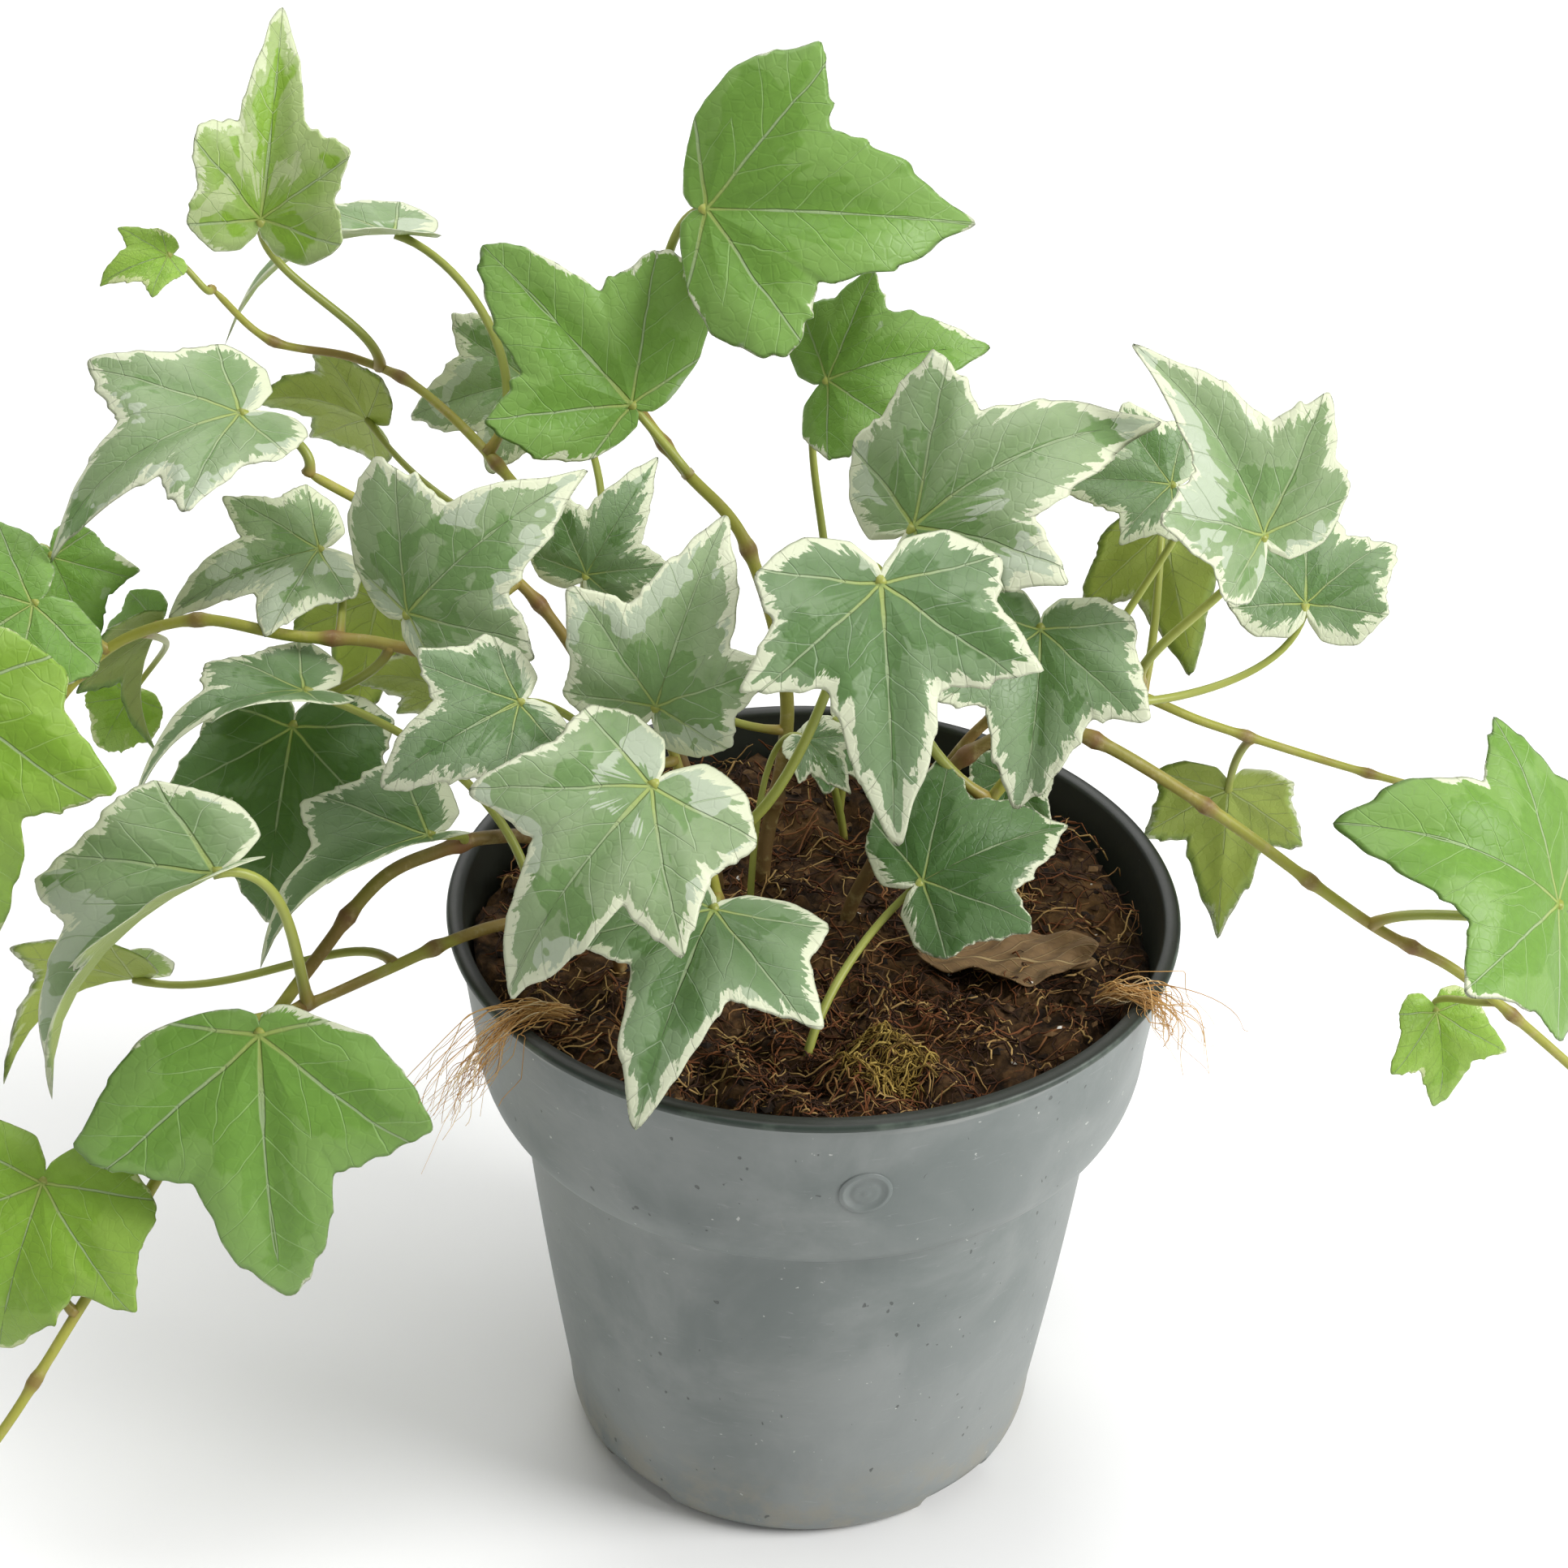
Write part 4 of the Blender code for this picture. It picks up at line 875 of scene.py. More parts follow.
def make_vine(node, low, high, corners):
    """Radius = taper * (0.92 + 0.42 * bells at the joints), on the frame's course with a slight zigzag."""
    course = smooth_course([plant_place(corner) for corner in corners], VINE_STEPS)
    length = np.linalg.norm(np.diff(course, axis=0), axis=1).sum()
    s = np.linspace(0, 1, VINE_STEPS)
    joints = np.arange(FIRST_JOINT, length, JOINT_SPACING) / length
    knot = np.exp(-(((s[:, None] - joints[None]) * length / JOINT_HALF_LENGTH) ** 2)).sum(1)
    ahead = unit(np.gradient(course, axis=0))
    aside = unit(np.cross(ahead, (0.3, 0.2, 0.93)))
    sway = np.abs((s * length / JOINT_SPACING + 0.95) % 2 - 1)
    zigzag = ZIGZAG * sway * np.clip(20 * (s - 0.12), 0, 1)
    course = course + aside * zigzag[:, None]
    radius = (low + (high - low) * s) * MM * (0.92 + JOINT_SWELL * knot)
    radius[-3:] *= (0.9, 0.7, 0.35)
    points, faces = strands(course[None], radius[None], VINE_SIDES)
    numbers = {"age": np.repeat(s, VINE_SIDES), "knot": np.repeat(np.clip(knot, 0, 1), VINE_SIDES)}
    put_piece(f"{node}_stem", points, faces, [bark], [node], numbers=numbers)
    return course


courses = {node: make_vine(node, *values) for node, values in VINES.items()}
print("vines:", len(courses))

# %% [markdown]
# ## The leaf's finish
# Each blade is green in the middle, with a grey green band where one cell layer has no colour, paler
# silver patches, and a ragged cream edge. All three borders follow the leaf's edge but wander in and
# out, so each is a threshold on one number, the distance to the edge, against noise of its own. Pale
# ribs fan out from the stalk, and fainter side ribs leave them at a slant. The ribs are almost straight
# lines on the leaf's flat map, so they are sums of its two coordinates and stay sharp at any size.

# %% Ribs
RIB_ANGLES = (0.0, 52.0, 100.0)
RIB_WIDTH = 0.0085
SIDE_RIB_SPACING = 0.085


def rib_lines(finish, flat, wander):
    """(main ribs, side ribs, distance from the nearest main rib) on the map of (along, across).

    Each rib is a ray from the stalk; its side ribs are the turns of a saw wave that slants off it.
    """
    along, across, _ = finish.split(flat)
    across = finish.math("ABSOLUTE", across)
    main, side, near, rays = None, None, None, []
    for angle in RIB_ANGLES:
        cos, sin = math.cos(math.radians(angle)), math.sin(math.radians(angle))
        far = finish.plus(finish.times(along, cos), finish.times(across, sin))
        off = finish.minus(finish.times(across, cos), finish.times(along, sin))
        off = finish.math("ABSOLUTE", finish.math("MULTIPLY_ADD", wander, 0.035, off))
        width = finish.larger(finish.math("MULTIPLY_ADD", far, -0.8 * RIB_WIDTH, RIB_WIDTH), 0.0030)
        line = finish.step(finish.math("DIVIDE", off, width), 1.25, 0.45)
        line = finish.times(line, finish.step(far, -0.02, 0.02))
        slant = finish.plus(finish.math("MULTIPLY_ADD", off, -1.05, far), finish.times(wander, 0.14))
        saw = finish.math("PINGPONG", slant, SIDE_RIB_SPACING)
        fade = finish.math("MULTIPLY_ADD", off, -0.012, 0.0062)
        thin = finish.step(saw, fade, finish.times(fade, 0.3))
        rays.append((off, finish.times(thin, finish.step(far, 0.0, 0.06))))
        main = line if main is None else finish.larger(main, line)
        near = off if near is None else finish.math("MINIMUM", near, off)
    for number, (off, thin) in enumerate(rays):
        for other, _ in rays[:number] + rays[number + 1:]:
            nearer = finish.step(finish.minus(other, off), -0.004, 0.004)
            thin = finish.times(thin, nearer)
        side = thin if side is None else finish.larger(side, thin)
    return main, side, near


# %% The blade's finish
RIB_PALE = (0.44, 0.54, 0.32)
RIB_FOOT = (0.42, 0.50, 0.14)
UNDER_RIB = (0.52, 0.60, 0.24)
BLADE_BUMP = 0.00022
GLOW_SHARE = 0.22


def blade_finish(name, core, band, silver, cream, widths, under, through, margin=1.0, silver_from=0.56,
                 gloss=0.44):
    """A variegated blade: green core, grey band, silver patches, cream edge, underside, light through it.

    widths are the reach of the cream, silver and grey borders in millimetres, margin is how much of
    the edge is cream, and silver_from is the noise above which the silver border opens.
    """
    finish = Finish(name)
    flat, edge, seed = finish.flat(), finish.number("edge"), finish.number("seed")
    along, across, _ = finish.split(flat)
    where = finish.join(along, across, seed)
    squares = finish.plus(finish.times(along, along), finish.times(across, across))
    far = finish.math("SQRT", squares)
    round_angle = finish.math("ARCTAN2", across, along)
    around = finish.join(finish.times(round_angle, 7.0), finish.times(far, 4.0), seed)
    fingers = finish.noise(around, 1.6, 4.0, 0.65, 0.3)
    broad = finish.noise(where, 2.4, 3.0, 0.5, 0.4)
    shifted = finish.join(across, along, finish.plus(seed, 7.3))
    other = finish.noise(shifted, 2.8, 3.0, 0.5, 0.5)
    where_cream = finish.noise(shifted, 1.9, 1.0, 0.5)
    fine = finish.noise(where, 26.0, 3.0, 0.6)
    wander = finish.minus(finish.noise(where, 4.0, 2.0), 0.5)
    main, side, near = rib_lines(finish, flat, wander)
    frayed = finish.math("MULTIPLY_ADD", finish.minus(fine, 0.5), 0.9, edge)

    def border(reach, noise, low, high, soft):
        """1 inside a border whose reach grows with the noise."""
        wide = finish.times(finish.step(noise, low, high), reach)
        return finish.step(finish.minus(frayed, wide), soft, -soft)

    mottled = finish.blend(finish.step(fine, 0.30, 0.70), core, tuple(0.88 * c for c in core))
    grey = finish.blend(finish.step(fine, 0.30, 0.70), band, tuple(0.93 * c for c in band))
    ribward = finish.times(finish.step(near, 0.16, 0.02), finish.step(far, 0.95, 0.25))
    greener = finish.times(ribward, finish.step(other, 0.35, 0.60))
    inner = finish.blend(finish.times(greener, 0.75), grey, mottled)
    colour = finish.blend(border(widths[2], other, 0.30, 0.62, 0.9), mottled, inner)
    silvered = border(widths[1], broad, silver_from, silver_from + 0.14, 0.35)
    colour = finish.paint(colour, silver, silvered, 0.9)
    pale_line = tuple(min(1, 1.30 * c + 0.07) for c in band)
    colour = finish.paint(colour, pale_line, side, 0.68)
    wide_here = finish.step(where_cream, 0.62 - 0.30 * margin, 0.78 - 0.30 * margin)
    combed = finish.times(finish.step(fingers, 0.36, 0.64), widths[0])
    combed = finish.times(finish.math("MULTIPLY_ADD", wide_here, 0.75, 0.25 * margin), combed)
    combed = finish.plus(combed, finish.math("MULTIPLY_ADD", wide_here, 0.35, 0.40 * margin - 0.20))
    colour = finish.blend(finish.step(finish.minus(frayed, combed), 0.14, -0.14), colour, cream)
    rib_colour = finish.blend(finish.step(far, 0.30, 0.02), RIB_PALE, RIB_FOOT)
    colour = finish.paint(colour, rib_colour, main, finish.math("MULTIPLY_ADD", far, -0.35, 0.85))
    below = finish.blend(finish.step(other, 0.3, 0.7), under, tuple(0.86 * c for c in under))
    under_edge = tuple(0.5 * (a + b) for a, b in zip(cream, under))
    edging = finish.step(finish.minus(frayed, combed), 0.5, -0.2)
    below = finish.paint(below, under_edge, edging, 0.65)
    below = finish.blend(finish.larger(main, finish.times(side, 0.45)), below, UNDER_RIB)
    colour = finish.blend(finish.number("under"), colour, below)
    net = finish.step(finish.cells(where, 21.0), 0.12, 0.0)
    dips = finish.math("MULTIPLY_ADD", side, 0.55, main)
    bump = finish.math("MULTIPLY_ADD", net, -0.14, finish.times(dips, -1.0))
    bump = finish.math("MULTIPLY_ADD", broad, 0.9, bump)
    bump = finish.math("MULTIPLY_ADD", fine, 0.18, bump)
    roughness = finish.math("MULTIPLY_ADD", broad, 0.16, gloss - 0.08)
    material = finish.surface(colour, roughness, bump, BLADE_BUMP, Specular_IOR_Level=0.38)
    finish.glow_through(through, GLOW_SHARE)
    return material


# %% The plant's leaf finishes
CREAM = (0.78, 0.81, 0.60)
UNDER = (0.36, 0.43, 0.14)
THROUGH = (0.46, 0.66, 0.08)
LEAF_FINISHES = {
    "edged": ("leaf_cream_edged", (0.125, 0.228, 0.082), (0.240, 0.345, 0.185), (0.46, 0.54, 0.38),
              CREAM, (1.8, 6.0, 12.0), UNDER, THROUGH, 1.0, 0.60),
    "frosted": ("leaf_frosted", (0.195, 0.325, 0.120), (0.325, 0.430, 0.235), (0.53, 0.60, 0.46),
                CREAM, (1.9, 9.0, 20.0), UNDER, THROUGH, 1.0, 0.52),
    "plain": ("leaf_plain_green", (0.180, 0.355, 0.060), (0.235, 0.410, 0.100), (0.36, 0.48, 0.26),
              CREAM, (1.6, 4.0, 9.0), UNDER, THROUGH, 0.25, 0.64),
    "young": ("leaf_young", (0.245, 0.440, 0.045), (0.310, 0.500, 0.080), (0.42, 0.56, 0.18),
              (0.66, 0.74, 0.36), (1.2, 3.0, 8.0), (0.400, 0.500, 0.090), (0.54, 0.70, 0.05), 0.35, 0.64),
    "tall": ("leaf_tall_growth", (0.260, 0.450, 0.050), (0.420, 0.540, 0.220), (0.54, 0.62, 0.34),
             (0.70, 0.76, 0.50), (1.6, 8.0, 12.0), (0.400, 0.500, 0.120), (0.54, 0.70, 0.05), 0.6, 0.54),
    # A darker copy of the variegated leaf for the low leaves inside the plant: painted shade, not a darker
    # green.
    "deep": ("leaf_green_painted_shade", (0.075, 0.165, 0.045), (0.135, 0.235, 0.095), (0.30, 0.38, 0.24),
             CREAM, (1.8, 4.0, 9.0), UNDER, THROUGH, 0.6, 0.62),
    # A lighter copy for leaves seen from below against the back light: painted light shining through the
    # blade.
    "pale_under": ("leaf_lit_from_behind", (0.260, 0.400, 0.080), (0.330, 0.460, 0.120), (0.46, 0.56, 0.24),
                   CREAM, (1.4, 4.0, 6.0), (0.430, 0.520, 0.110), (0.60, 0.74, 0.08), 0.6, 0.60),
}
blades = {name: blade_finish(*values) for name, values in LEAF_FINISHES.items()}
print("leaf finishes:", ", ".join(blades))

# %% [markdown]
# ## Leaves
# An ivy leaf is a thin blade with five lobes that fan from the top of its stalk. In polar terms it is
# simple: at each angle from the midrib the edge is at a known reach, so the blade is a function of
# the angle and of the share of that reach. The same sum lifts the halves into a fold, arches the
# midrib, sinks the ribs and waves the margin, and the underside is the same sheet a fifth of a
# millimetre lower, joined at the edge.

# %% Leaf outlines
OUTLINES = {
    "wide": ((0, 1.0), (14, 0.77), (32, 0.60), (55, 0.75), (78, 0.54), (98, 0.54), (124, 0.40),
             (152, 0.22), (172, 0.10)),
    "broad": ((0, 1.0), (14, 0.71), (31, 0.53), (55, 0.67), (78, 0.45), (98, 0.47), (124, 0.34),
              (152, 0.20), (172, 0.09)),
    "long": ((0, 1.0), (11, 0.73), (27, 0.49), (54, 0.66), (76, 0.42), (100, 0.45), (126, 0.32),
             (152, 0.19), (172, 0.08)),
    "arrow": ((0, 1.0), (9, 0.74), (22, 0.50), (44, 0.52), (70, 0.36), (102, 0.40), (128, 0.30),
              (152, 0.18), (172, 0.08)),
    "young": ((0, 1.0), (14, 0.72), (32, 0.58), (54, 0.74), (76, 0.46), (100, 0.40), (126, 0.31),
              (152, 0.20), (172, 0.09)),
    "square": ((0, 1.0), (14, 0.75), (29, 0.57), (57, 0.67), (80, 0.50), (100, 0.32), (128, 0.17),
               (152, 0.11), (172, 0.06)),
    "flat": ((0, 1.0), (12, 0.76), (29, 0.55), (64, 0.68), (77, 0.50), (90, 0.38), (108, 0.20),
             (140, 0.11), (172, 0.06)),
    "oval": ((0, 1.0), (18, 0.88), (38, 0.75), (58, 0.68), (78, 0.61), (100, 0.51), (126, 0.36),
             (152, 0.21), (172, 0.10)),
}
COLUMNS = 360
TOP_ROWS = 15
UNDER_ROWS = 7
HALF_BLADE = 0.00011
PILLOW_HEIGHT = 0.020
FURROW_HALF_WIDTH = 0.07
MIDDLE_SHARE = 0.012  # the innermost ring, which a small face closes


def leaf_edge(outline, angles, draw):
    """The edge's reach at each angle: the outline's corners joined, rounded and then toothed.

    The corners are joined in 1 / reach, which keeps the edge between two of them nearly straight.
    Rounding is a weighted mean over five nearby angles. Sines in the angle make the teeth, and four
    slow ones push each lobe and notch in or out, so no leaf's halves match.
    """
    corner_angles, reaches = (np.array(values, float) for values in zip(*OUTLINES[outline]))
    lobe = (corner_angles > 40) & (corner_angles < 62)
    neck = (corner_angles > 20) & (corner_angles < 40)
    reaches = reaches * np.where(lobe, 1.03, np.where(neck, 0.93, 1.0))
    corner_angles = np.append(corner_angles, 180)
    reaches = np.append(reaches, 0.6 * reaches[-1])
    nearby = np.array((-2.0, -1.0, 0.0, 1.0, 2.0))
    shift = 3.0 * np.sin(2 * angles + draw.uniform(0, 6)) + 2.0 * np.sin(5 * angles + draw.uniform(0, 6))
    shift = shift * np.clip(np.abs(angles) / 0.5, 0, 1)
    turns = np.abs((np.degrees(angles)[:, None] + shift[:, None] + nearby + 180) % 360 - 180)
    reach = (1 / np.interp(turns, corner_angles, 1 / reaches)) @ np.array((0.12, 0.22, 0.32, 0.22, 0.12))
    reach = reach / reach.max()
    phases = draw.uniform(0, 2 * np.pi, 6)
    front = np.clip(1.2 - np.abs(angles) / 2.2, 0, 1)
    teeth = 0.010 * np.sin(26 * angles + phases[0]) + 0.008 * np.sin(43 * angles + phases[1])
    teeth = teeth + 0.007 * np.sin(17 * angles + phases[2])
    teeth = teeth + 0.006 * np.abs(np.sin(34 * angles + phases[5]))
    teeth = teeth + 0.030 * np.maximum(0, np.sin(21 * angles + 1.5 * np.sin(5 * angles + phases[1]))) ** 5
    uneven = 0.05 * np.sin(angles + phases[3]) + 0.05 * np.sin(2 * angles + phases[4])
    return reach * (1 + front * teeth + uneven * np.abs(np.sin(angles)))


# %% The blade's surface


def blade(joint, tip, faces_to, outline, fold, arch, draw):
    """Points, faces, flat map and edge distance of one closed blade.

    Place = joint + length * (forward * F + aside * cos(fold) * L + rise * U), where rise is the
    midrib's arch, the fold, a furrow along each rib, a margin wave and a droop at the lobes' tips.
    """
    length = np.linalg.norm(tip - joint)
    forward_axis = unit(tip - joint)
    turn, lift = np.radians(faces_to)
    up_axis = np.array((math.cos(lift) * math.cos(turn), math.cos(lift) * math.sin(turn), math.sin(lift)))
    up_axis = unit(up_axis - forward_axis * (up_axis @ forward_axis))
    left_axis = np.cross(up_axis, forward_axis)
    angles = np.linspace(-np.pi, np.pi, COLUMNS, endpoint=False)
    edge = leaf_edge(outline, angles, draw)
    slope = (np.roll(edge, -1) - np.roll(edge, 1)) / (2 * (angles[1] - angles[0]))
    top = 1 - (1 - np.linspace(0, 1, TOP_ROWS + 1)) ** 1.25
    below = np.linspace(1, 0, UNDER_ROWS + 1)[1:]
    shares = np.concatenate([[MIDDLE_SHARE], top[1:], below[:-1], [MIDDLE_SHARE]])[:, None]
    side = np.where(np.arange(len(shares)) <= TOP_ROWS, 1.0, -1.0)[:, None]
    reach = shares * edge
    forward, aside = reach * np.cos(angles), reach * np.sin(angles)
    crease = np.sqrt(aside**2 + 0.0016) - 0.04
    off_rib = np.min([np.abs(reach * np.sin(np.clip(np.abs(angles) - math.radians(rib), -1.5, 1.5)))
                      for rib in RIB_ANGLES], axis=0)
    phases = draw.uniform(0, 2 * np.pi, 3)
    off_furrow = 1 - np.exp(-((off_rib / FURROW_HALF_WIDTH) ** 2))
    pillow = PILLOW_HEIGHT * off_furrow * np.clip(4 * (1 - shares), 0, 1)
    wave = 0.022 * np.sin(4 * angles + phases[0]) + 0.013 * np.sin(9 * angles + phases[1])
    wave = wave * reach * shares**2
    droop = -draw.uniform(0.03, 0.10) * reach**3 - 0.06 * np.clip(reach - 0.6, 0, 1) ** 2
    twist = 0.05 * np.sin(phases[2]) * forward * aside
    rise = 4 * arch * forward * (1 - forward) - 0.25 * arch * aside**2
    rise = rise + crease * math.sin(math.radians(fold))
    rise = rise + pillow + wave + droop + twist
    across = aside * math.cos(math.radians(fold))
    thick = HALF_BLADE * side * np.sqrt(np.maximum(1 - shares**16, 0)) + 0 * angles
    points = (joint + length * (forward[..., None] * forward_axis + across[..., None] * left_axis
                                + rise[..., None] * up_axis) + thick[..., None] * up_axis)
    rows = len(shares)
    ring = np.arange(COLUMNS)[None, :]
    faces = [ring_faces(rows, COLUMNS), ring, (rows - 1) * COLUMNS + ring[:, ::-1]]
    gap = (1 - shares) * edge**2 / np.sqrt(edge**2 + slope**2) * length / MM
    flat = np.stack([forward, aside], -1).reshape(-1, 2)
    return points.reshape(-1, 3), faces, flat, gap.reshape(-1), (side < 0) * 1.0 + 0 * angles, up_axis


# %% [markdown]
# ## Where the leaves are
# Each leaf has its own line: the vine and the share of its course where the stalk starts (or a place
# in the peat), the place where the stalk meets the blade, the tip, the way its upper side faces, its
# outline, its fold and its arch, as in the frame, and last the finish that it wears.

# %% Leaf places
LEAVES = {
    "tall": ("vine_crown", 0.78, (-87, 45, 98), (-84, 60, 126), (-80, 20), "arrow", 30, 0.10, "tall"),
    "outer_small": ("vine_crown", 1.0, (-101, 42, 93), (-111, 38, 90), (-110, 40), "young", 15, 0.1,
                    "young"),
    "arched": ("vine_crown", 0.62, (-68, 58, 90), (-96, 50, 76), (90, 75), "arrow", 20, 0.15, "frosted"),
    "backlit": ("vine_crown", 0.52, (-74, 62, 55), (-93, 64, 58), (80, 20), "wide", 10, 0.10,
                "pale_under"),
    "left_long": ("vine_left_upper", 1.0, (-88, 20, 78), (-116, 8, 61), (-95, 78), "long", 10, 0.15,
                  "frosted"),
    "edge_upper": ("vine_left_middle", 0.80, (-118, 3, 54), (-138, -4, 39), (-100, 45), "wide", 5, 0.1,
                   "plain"),
    "edge_lower": ("vine_left_middle", 1.0, (-127, -26, 56), (-121, -36, 18), (-90, 40), "broad", 10,
                   0.15, "young"),
    "dark_left": ("vine_left_middle", 0.90, (-119, 24, 50), (-114, 24, 32), (-70, 30), "young", 5, 0.1,
                  "plain"),
    "oval": ("vine_left_middle", 0.76, (-110, 30, 21), (-115, 28, 12), (-90, 30), "oval", 5, 0.1,
             "young"),
    "narrow": ("vine_left_middle", 0.74, (-103, 22, 39), (-106, 21, 17), (175, 10), "long", 50, 0.1,
               "plain"),
    "grey": ("vine_left_middle", 0.55, (-77, 18, 56), (-100, 12, 48), (-105, 55), "long", 15, 0.1,
             "frosted"),
    "big": ("vine_left_upper", 0.66, (-62, 3, 54), (-38, 9, 75), (-95, 45), "square", 10, 0.12,
            "frosted"),
    "dark_middle": ("vine_back", 0.35, (-36, 16, 54), (-26, 23, 70), (-85, 40), "broad", 10, 0.1,
                    "edged"),
    "bright": ("vine_back", 0.82, (-30, 32, 75), (-53, 39, 98), (-90, 35), "square", 5, 0.08, "plain"),
    "behind": ("vine_crown", 0.45, (-47, 52, 68), (-66, 51, 62), (-95, 35), "wide", 15, 0.1, "frosted"),
    "top": ("vine_back", 1.0, (-19, 38, 105), (20, 36, 105), (-85, 30), "square", 10, 0.1, "plain"),
    "upright": ("vine_back", 0.45, (0, 30, 81), (23, 30, 88), (-90, 50), "wide", 10, 0.1, "plain"),
    "grey_big": ("vine_right_crown", 0.55, (13, 0, 73), (47, 8, 88), (-90, 64), "broad", 10, 0.15,
                 "frosted"),
    "centre": ("vine_front", 0.62, (8, -17, 73), (11, -35, 41), (-90, 45), "long", 5, 0.15, "edged"),
    "centre_upper": ("vine_front", 1.0, (-24, -18, 52), (-15, -6, 77), (-92, 40), "broad", 15, 0.1,
                     "frosted"),
    "front_left": ("vine_front", 0.80, (-24, -33, 48), (-45, -47, 21), (-95, 50), "long", 5, 0.15,
                   "frosted"),
    "front": ("vine_front", 0.45, (-15, -32, 26), (-25, -59, 7), (-90, 55), "long", 5, 0.20, "edged"),
    "low_right": ((-1, -34), 0, (16, -16, 21), (38, -5, 25), (-95, 55), "wide", 5, 0.10, "deep"),
    "right": ("vine_right_crown", 0.75, (32, -5, 59), (30, -20, 37), (-80, 45), "wide", 20, 0.12,
              "edged"),
    "right_grey": ("vine_right_crown", 1.0, (64, 0, 73), (46, 8, 99), (-65, 45), "broad", 25, 0.1,
                   "frosted"),
    "right_inner": ("vine_right_upper", 0.50, (52, 20, 70), (33, 22, 69), (-90, 45), "broad", 10, 0.1,
                    "edged"),
    "right_dark": ("vine_right_crown", 0.92, (74, 18, 51), (74, 40, 58), (-85, 65), "wide", 10, 0.15,
                   "edged"),
    "right_backlit": ("vine_right_upper", 0.56, (53, 33, 55), (59, 30, 32), (95, 10), "young", 10, 0.1,
                      "pale_under"),
    "right_hanging": ("vine_right_upper", 0.72, (66, 25, 12), (66, 21, -12), (85, 5), "broad", 10, 0.1,
                      "pale_under"),
    "far_right": ("vine_right_main", 0.66, (114, -6, 13), (79, -9, 30), (-90, 60), "wide", 5, 0.15,
                  "plain"),
    "far_right_small": ("vine_right_main", 0.80, (101, 10, -20), (103, 6, -37), (-70, 30), "young", 10,
                        0.1, "young"),
    "inner_small": ((-10, 2), 0, (-2, 4, 33), (5, -1, 27), (-90, 50), "young", 10, 0.1, "edged"),
    "inner_dark": ((5, 28), 0, (3, 22, 25), (16, 13, 16), (-85, 50), "broad", 10, 0.1, "deep"),
    "white_edge": ("vine_left_rim", 0.35, (-77, -5, 45), (-103, -14, 33), (75, 80), "arrow", 20, 0.15,
                   "edged"),
    "left_dark": ("vine_left_middle", 0.50, (-80, 2, 34), (-84, -12, 7), (-88, 36), "broad", 5, 0.1,
                  "deep"),
    "left_hanging": ("vine_left_rim", 0.85, (-87, -36, 33), (-113, -44, -2), (-160, 45), "arrow", 45,
                     0.15, "frosted"),
    "left_folded": ("vine_trailing", 0.25, (-58, -16, 27), (-84, -24, 9), (-150, 50), "arrow", 45, 0.15,
                    "edged"),
    "left_centre": ("vine_front", 0.90, (-44, -18, 52), (-64, -25, 41), (-95, 45), "broad", 10, 0.12,
                    "edged"),
    "left_pale": ("vine_left_middle", 0.36, (-56, 10, 36), (-72, 8, 40), (90, 15), "young", 5, 0.1,
                  "pale_under"),
    "left_inner": ("vine_left_upper", 0.72, (-69, 24, 44), (-73, 19, 23), (90, 10), "broad", 10, 0.1,
                   "pale_under"),
    "lower_left": ("vine_left_rim", 1.0, (-81, -41, 8), (-78, -54, -33), (-92, 40), "flat", 5, 0.1,
                   "plain"),
    "corner": ("vine_trailing", 0.80, (-114, -46, -17), (-122, -54, -44), (-88, 40), "wide", 5, 0.1,
               "young"),
    "pale_left": ("vine_left_rim", 0.66, (-103, -20, 2), (-124, -26, -12), (60, 50), "broad", 35, 0.15,
                  "pale_under"),
    "right_low_dark": ((24, 18), 0, (30, 12, 22), (27, 6, 9), (-90, 50), "broad", 5, 0.1, "deep"),
    "rear": ((4, 36), 0, (10, 46, 24), (14, 66, 5), (75, 50), "broad", 5, 0.2, "plain"),
}

# %% Stalks and whole leaves
STALK_SIDES = 10
STALK_STEPS = 26
STALK_RADIUS = 0.0005
STALK_TAPER = 0.010
ROOTED_DEPTH = 0.0040


def stalk_course(start, leave, joint, forward, up):
    """A Bezier course that leaves the vine that way and meets the blade from below and behind."""
    reach = np.linalg.norm(joint - start)
    second = start + leave * 0.35 * reach
    third = joint - (forward * 0.25 + up * 0.30) * reach
    t = np.linspace(0, 1, STALK_STEPS)[:, None]
    return start * (1 - t)**3 + second * 3 * t * (1 - t)**2 + third * 3 * t * t * (1 - t) + joint * t**3


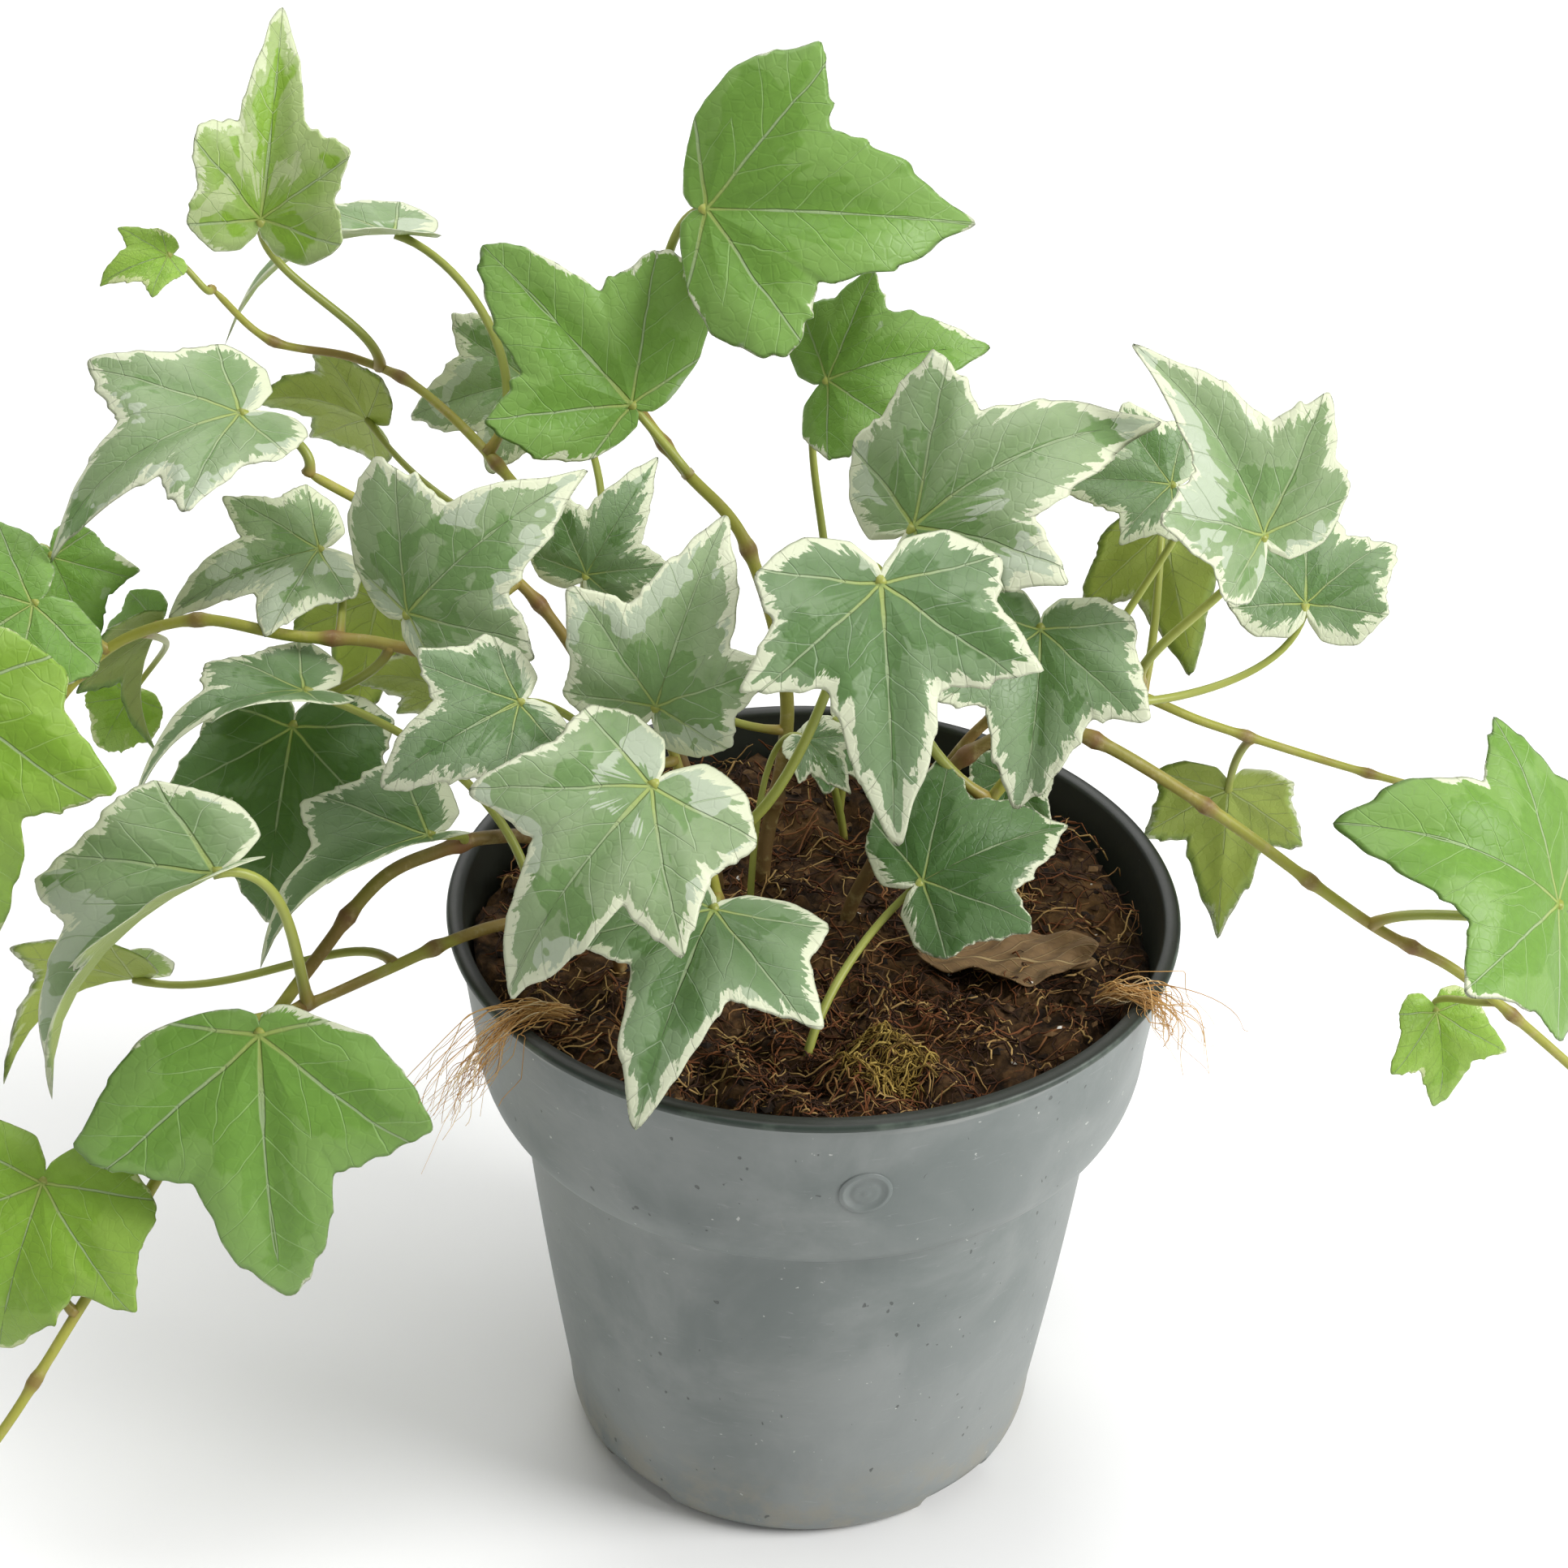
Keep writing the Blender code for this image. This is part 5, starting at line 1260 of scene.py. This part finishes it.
def make_leaf(name, seed, source, share, joint, tip, faces_to, outline, fold, arch, wears):
    """One blade and its stalk as one piece that stands for the frame's leaf node."""
    draw = np.random.default_rng(seed)
    joint, tip = plant_place(joint), plant_place(tip)
    points, faces, flat, edge, under, up = blade(joint, tip, faces_to, outline, fold, arch, draw)
    if source in courses:
        course = courses[source]
        here = share * (len(course) - 1)
        low = min(int(here), len(course) - 2)
        start = course[low] + (course[low + 1] - course[low]) * (here - low)
        run = unit(course[low + 1] - course[low])
        leave = unit((joint - start) - run * ((joint - start) @ run))
    else:
        start = plant_place((*source, 0)) - (0, 0, ROOTED_DEPTH)
        leave = np.array((0.0, 0.0, 1.0))
    path = stalk_course(start, leave, joint, unit(tip - joint), up)
    s = np.linspace(0, 1, STALK_STEPS)
    radius = STALK_RADIUS + STALK_TAPER * np.linalg.norm(tip - joint)
    foot = 0.35 * np.exp(-((s / 0.05) ** 2))
    head = 0.25 * np.exp(-(((1 - s) / 0.05) ** 2))
    radii = radius * (1 + foot - 0.25 * s + head)
    stalk_points, stalk_faces = strands(path[None], radii[None], STALK_SIDES)
    blade_points, extra = len(points), len(stalk_points)
    kinds = np.concatenate([np.zeros(sum(len(group) for group in faces)),
                            np.ones(sum(len(group) for group in stalk_faces))])
    faces = faces + [group + blade_points for group in stalk_faces]
    nothing = np.zeros(extra)
    knot = np.repeat(np.exp(-((s / 0.12) ** 2)), STALK_SIDES)
    numbers = {
        "edge": np.concatenate([edge, nothing + 9]),
        "under": np.concatenate([under.reshape(-1), nothing]),
        "seed": np.full(blade_points + extra, 3.7 * seed),
        "knot": np.concatenate([np.zeros(blade_points), knot]),
    }
    flat = np.concatenate([flat, np.zeros((extra, 2))])
    points = np.concatenate([points, stalk_points])
    return put_piece(f"ivy_{name}", points, faces, [blades[wears], stalk_green],
                     [f"leaf_{name}"], flat, numbers, kinds)


for seed, (name, values) in enumerate(LEAVES.items(), start=1):
    leaf = make_leaf(name, seed, *values)
print("leaves:", len(LEAVES), "with", len(leaf.data.polygons), "faces each")

# %% [markdown]
# ## Light, floor and camera
# A plant shows its shapes best in soft light that comes from one side more than the other, on a plain
# pale ground. A large area light at the right gives the pot its shape, one above lights the leaves more
# than the upright wall, one behind glows through the thin blades, and the world lifts the shadows.

# %% The floor and the light


def make_floor():
    mesh = bpy.data.meshes.new("floor")
    mesh.from_pydata([(-4, -4, 0), (4, -4, 0), (4, 4, 0), (-4, 4, 0)], [], [(0, 1, 2, 3)])
    floor = bpy.data.objects.new("floor", mesh)
    bpy.context.scene.collection.objects.link(floor)
    finish = Finish("pale_floor")
    mesh.materials.append(finish.surface((0.90, 0.90, 0.895), 0.9, Specular_IOR_Level=0.2))


def add_light(name, place, aim, size, power):
    light = bpy.data.lights.new(name, "AREA")
    light.shape = "DISK"
    light.size = size
    light.energy = power
    lamp = bpy.data.objects.new(name, light)
    lamp.location = place
    lamp.rotation_euler = (Vector(aim) - Vector(place)).to_track_quat("-Z", "Y").to_euler()
    bpy.context.scene.collection.objects.link(lamp)


make_floor()
middle = (0.0, 0.0, 0.11)
add_light("key", (0.90, -0.30, 0.72), middle, 0.55, 12.5)
add_light("top", (-0.15, 0.05, 1.20), middle, 0.8, 6.5)
add_light("back", (-0.2, 0.85, 0.85), middle, 0.8, 5.0)
world = bpy.data.worlds.new("studio")
world.use_nodes = True
world.node_tree.nodes["Background"].inputs[0].default_value = (1.0, 1.0, 1.0, 1.0)
world.node_tree.nodes["Background"].inputs[1].default_value = 0.36
bpy.context.scene.world = world
bpy.context.scene.view_settings.view_transform = "Standard"

# %% The camera
CAMERA_RISE = math.radians(33.35)
CAMERA_ROLL = math.radians(1.5)
CAMERA_DISTANCE = 0.600
CAMERA_TARGET = Vector((-0.0051, 0.0, 0.1213))
SENSOR = 36.0
LENS = 90.3


def make_camera():
    """Behind the target by CAMERA_DISTANCE, raised by CAMERA_RISE and rolled about its own axis."""
    data = bpy.data.cameras.new("camera")
    data.sensor_width = SENSOR
    data.lens = LENS
    back = Vector((0, -math.cos(CAMERA_RISE), math.sin(CAMERA_RISE)))
    right = Vector((1, 0, 0))
    up = back.cross(right)
    x_axis = right * math.cos(CAMERA_ROLL) + up * math.sin(CAMERA_ROLL)
    y_axis = up * math.cos(CAMERA_ROLL) - right * math.sin(CAMERA_ROLL)
    camera = bpy.data.objects.new("camera", data)
    place = CAMERA_TARGET + back * CAMERA_DISTANCE
    camera.matrix_world = Matrix((
        (x_axis.x, y_axis.x, back.x, place.x),
        (x_axis.y, y_axis.y, back.y, place.y),
        (x_axis.z, y_axis.z, back.z, place.z),
        (0, 0, 0, 1),
    ))
    bpy.context.scene.collection.objects.link(camera)
    bpy.context.scene.camera = camera


make_camera()
